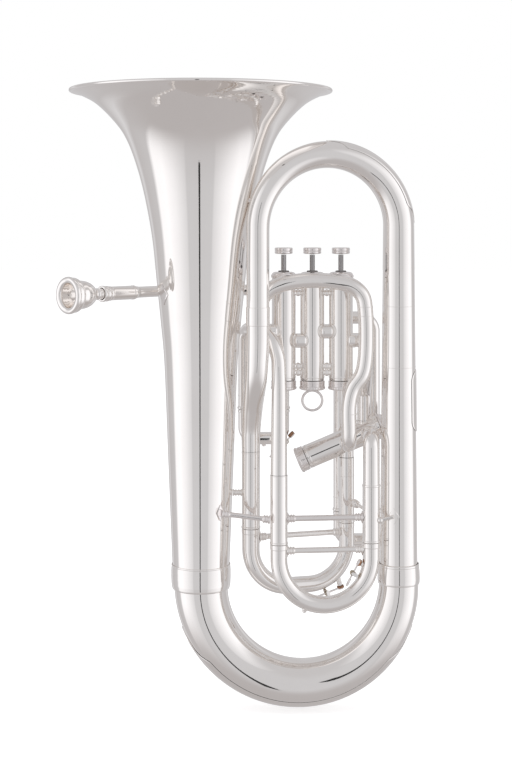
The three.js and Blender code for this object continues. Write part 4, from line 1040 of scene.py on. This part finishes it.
def make_small_slides():
    x1, x2, x3 = VALVE_X
    left_x, y, top, low = -64.6, FIRST_SLIDE_Y, KNUCKLE_HIGH_Z, 338
    turned_down("first_tube_left", [
        at(x1 - 18.3, VALVE_Y, top), at(-45, VALVE_Y, top), at(left_x, y, top), at(left_x, y, low),
    ], [8, 14], "first_slide_tube_left")
    turned_down("first_tube_right", [
        at(x1, STUB_Y, FIRST_PORT_Z), at(x1, y, FIRST_PORT_Z), at(x1, y, low),
    ], [9], "first_slide_tube_right")

    # the water key sits on the crook's right corner, at 45 degrees
    bottom, bend, away = 303, 13, 24 * math.sqrt(0.5)
    hinge = at(x1 - bend + away, y, bottom + bend - away)
    along, face = at(1, 0, 1).normalized(), at(-1, 0, 1).normalized()
    shape = Shape()
    saddle(shape, hinge, Y_AXIS, along, face, 2.4, 8)
    small_slide(shape, "first_slide", (left_x, y, SMALL_R), (x1, y, SMALL_R), low - 0.5, bottom, 372)
    water_key("first", hinge, along, face, 10, 24, 3.8)

    left_x, right_x, y, low = 49.4, 90, THIRD_SLIDE_Y, 216
    high_z, low_z = THIRD_PORTS_Z
    turned_down("third_tube_left", [
        at(x3, STUB_Y, low_z), at(left_x, y, low_z), at(left_x, y, low),
    ], [13], "third_slide_tube_left")
    turned_down("third_tube_right", [
        at(x3, STUB_Y, high_z), at(x3, y, high_z), at(right_x, y, high_z), at(right_x, y, low),
    ], [11, 16], "third_slide_tube_right")
    small_slide(Shape(), "third_slide", (left_x, y, SMALL_R), (right_x, y, SMALL_R), low - 0.5, 181, 274)

    shape = Shape()
    legs = Shape()
    high_z, low_z = SECOND_PORTS_Z
    start, back = 50.5, 67
    corners = [at(x2, start, high_z), at(x2, back, high_z), at(x2, back, low_z), at(x2, start, low_z)]
    shape.tube(route(corners, 11.95, 24), SMALL_R, sides=36, normal=X_AXIS)
    for z in SECOND_PORTS_Z:
        shape.band(at(x2, 52, z), Y_AXIS, SMALL_R, 3, 0.5, 36)
        legs.tube([at(x2, 53, z), at(x2, 34, z)], 5.9, sides=32, normal=X_AXIS)
    grip = [(0, 0), (2.4, 0), (2.8, 0.8), (2.0, 2), (3.4, 3.2), (3.4, 4), (0, 4)]
    grip_foot = at(x2, 73.6, (high_z + low_z) / 2)
    shape.turned([(r, 4 - z) for r, z in reversed(grip)], grip_foot, Y_AXIS, 28, smooth=0.3)
    piece("second_slide_crook", shape, PLATE, "second_slide_body", ["second_slide"])
    piece("second_slide_legs", legs, INNER, "second_slide_body")


# ---- leadpipe and mouthpiece


def make_leadpipe():
    inwards = at(1, 1, 0).normalized()
    x = VALVE_X[0]
    wrap = 58  # radius of the bend round the bell
    spread = wrap * math.tan(math.pi / 8)
    corner = at(BELL_X - spread, LEADPIPE_Y, LEADPIPE_Z)
    rim = corner - inwards * (spread + 151.3)
    corners = [rim + inwards * 104.3, corner, at(x, LEADPIPE_Y, LEADPIPE_Z), at(x, STUB_Y, LEADPIPE_Z)]
    shape = Shape().tube(route(corners, [wrap, 20], 32), 6.5, sides=36, normal=UP)
    piece("leadpipe_bend", shape, nodes=["leadpipe"])

    shape = Shape().turned([
        (6.9, 0), (8.6, 0), (9.3, 0.7), (9.3, 3.4), (8.7, 4.4), (8.3, 5.2), (8.9, 6.2), (9.0, 8.6), (8.3, 9.8),
        (8.1, 10.8), (8.5, 12.2), (8.1, 13.6), (8.0, 15), (8.0, 44.4), (8.3, 45.2), (8.3, 48.4), (7.8, 49.4),
        (7.2, 50.6), (6.9, 54), (5.6, 54), (5.6, 26), (6.9, 26),
    ], rim + inwards * 50, inwards, 56, smooth=0.6)
    piece("receiver_sleeve", shape, nodes=["mouthpiece_receiver"])

    shape = Shape().turned([
        (18.0, 0.1), (19.6, 0.5), (20.7, 1.6), (21.1, 3.2), (20.9, 4.8), (20.2, 5.9), (19.7, 6.5), (19.9, 7.3),
        (19.9, 10.4), (19.2, 12.2), (17.4, 13.4), (16.4, 14.4), (16.3, 17), (16.2, 21), (15.4, 26), (13.6, 31),
        (10.6, 35.6), (7.4, 38.8), (5.6, 40.8), (5.3, 42), (6.6, 43.2), (6.8, 44.6), (6.3, 46), (6.5, 74),
        (5.5, 74), (3.4, 34), (5.2, 29.5), (9.4, 23.6), (12.4, 15.6), (13.0, 8), (13.2, 3.6), (14.2, 1.4),
        (15.8, 0.4),
    ], rim, inwards, 80, smooth=0.9)
    piece("mouthpiece_body_shell", shape, PLATE, "mouthpiece_body", ["mouthpiece"])


def make_small_trim():
    """The spool between the inner branch and the bell, and the leadpipe's foot plate on the bell."""
    shape = Shape()
    shape.turned([(0, -6), (5.5, -6), (5.5, -4.8), (3, -3), (3, 3), (5.5, 4.8), (5.5, 6), (0, 6)],
                 at(-55.6, -29, 586), at(0.9, -0.45, 0.05).normalized(), 28, smooth=0.4)
    side = at(-0.844, -0.536, 0).normalized()
    shape.flange(at(BELL_X, 0, 479), UP, side, linear(48.8, 51.3), 24, 0.2)
    piece("bell_saddle", shape, TRIM)


make_bell()
make_bows()
make_main_slide()
make_valves()
make_fourth_valve()
make_fourth_loop()
make_small_slides()
make_leadpipe()
make_small_trim()

# ---- floor and light


def make_floor():
    shape = Shape()
    centre = UP * -4
    shape.loft([ring_round(centre, X_AXIS, Y_AXIS, radius, 96) for radius in (0.01, 2000, 6000, 14000)])
    mesh = bpy.data.meshes.new("floor")
    mesh.from_pydata([p * MM for p in shape.points], [], shape.faces[:-1])
    floor = add_object("floor", mesh)

    def fill(nodes, place, shader):
        mottle = nodes.noise(place, 3.0, 3.0)
        colour = nodes.ramp(mottle, [(0.3, (0.80, 0.80, 0.80)), (0.7, (0.82, 0.82, 0.82))])
        wire(nodes, shader, "Base Color", colour)
        shader.inputs["Roughness"].default_value = 0.9
        shader.inputs["Emission Color"].default_value = (1, 1, 1, 1)
        shader.inputs["Emission Strength"].default_value = 0.56

    mesh.materials.append(material("floor_paper", fill))
    floor.visible_glossy = False


def make_world():
    """A light tent: pale front with a narrow dark slot, bright sides, softer back, top and floor."""
    world = bpy.data.worlds.new("tent")
    world.use_nodes = True
    bpy.context.scene.world = world
    nodes = Nodes(world.node_tree)
    way = nodes("SeparateXYZ", {0: nodes("TexCoord").outputs["Generated"]})
    x, y, z = way.outputs
    azimuth = nodes.maths("ARCTAN2", x, nodes.maths("MULTIPLY", y, -1.0))
    turn = nodes.maths("DIVIDE", nodes.maths("ABSOLUTE", azimuth), math.pi)

    def grey(v):
        """A grey that is warmer where it is darker."""
        t = min(max((v - 0.49) / 0.14, 0.0), 1.0)
        return (v, v * (0.95 + 0.042 * t), v * (0.95 + 0.062 * t))

    belt = nodes.ramp(turn, [
        (0.0, grey(0.63)), (0.15, grey(0.64)), (0.17, grey(0.76)), (0.30, grey(0.98)), (0.42, grey(1.12)),
        (0.53, grey(1.08)), (0.575, grey(0.6)), (0.74, grey(0.55)), (0.8, grey(0.72)), (0.88, grey(0.55)),
        (1.0, grey(0.62)),
    ])
    level = nodes.span(z, -1.0, 1.0, 0.0, 1.0)
    caps = nodes.ramp(level, [(0.0, grey(0.49)), (0.3, grey(0.52)), (0.5, grey(0.6))])
    near = nodes.ramp(nodes.maths("ABSOLUTE", z), [(0.36, (1, 1, 1)), (0.8, (0, 0, 0))], "EASE")
    tent = nodes.mix(near, caps, belt)
    slot_azimuth, slot_half_width = math.radians(-1.2), math.radians(1.8)
    offset = nodes.maths("ABSOLUTE", nodes.maths("ADD", azimuth, -slot_azimuth))
    narrow = nodes.maths("LESS_THAN", offset, slot_half_width)
    low = nodes.maths("GREATER_THAN", z, -0.55)
    high = nodes.maths("LESS_THAN", z, 0.12)
    slot = nodes.maths("MULTIPLY", narrow, nodes.maths("MULTIPLY", low, high))
    slotted = nodes.mix(slot, tent, (0.03, 0.03, 0.03, 1))
    seen = nodes("LightPath").outputs["Is Camera Ray"]
    final = nodes.mix(seen, slotted, (1, 1, 1, 1))
    back = nodes("Background", {"Color": final, "Strength": 1.0})
    nodes("OutputWorld", {"Surface": back.outputs[0]})


def make_light():
    data = bpy.data.lights.new("overhead", "AREA")
    data.shape = "DISK"
    data.size = 2.5
    data.energy = 26
    light = add_object("overhead", data)
    light.location = (-0.3, -0.4, 2.6)
    light.visible_glossy = False


make_floor()
make_world()
make_light()
bpy.context.scene.cycles.glossy_bounces = 12
bpy.context.scene.cycles.max_bounces = 16
bpy.context.scene.view_settings.view_transform = "Standard"
bpy.context.scene.view_settings.look = "None"
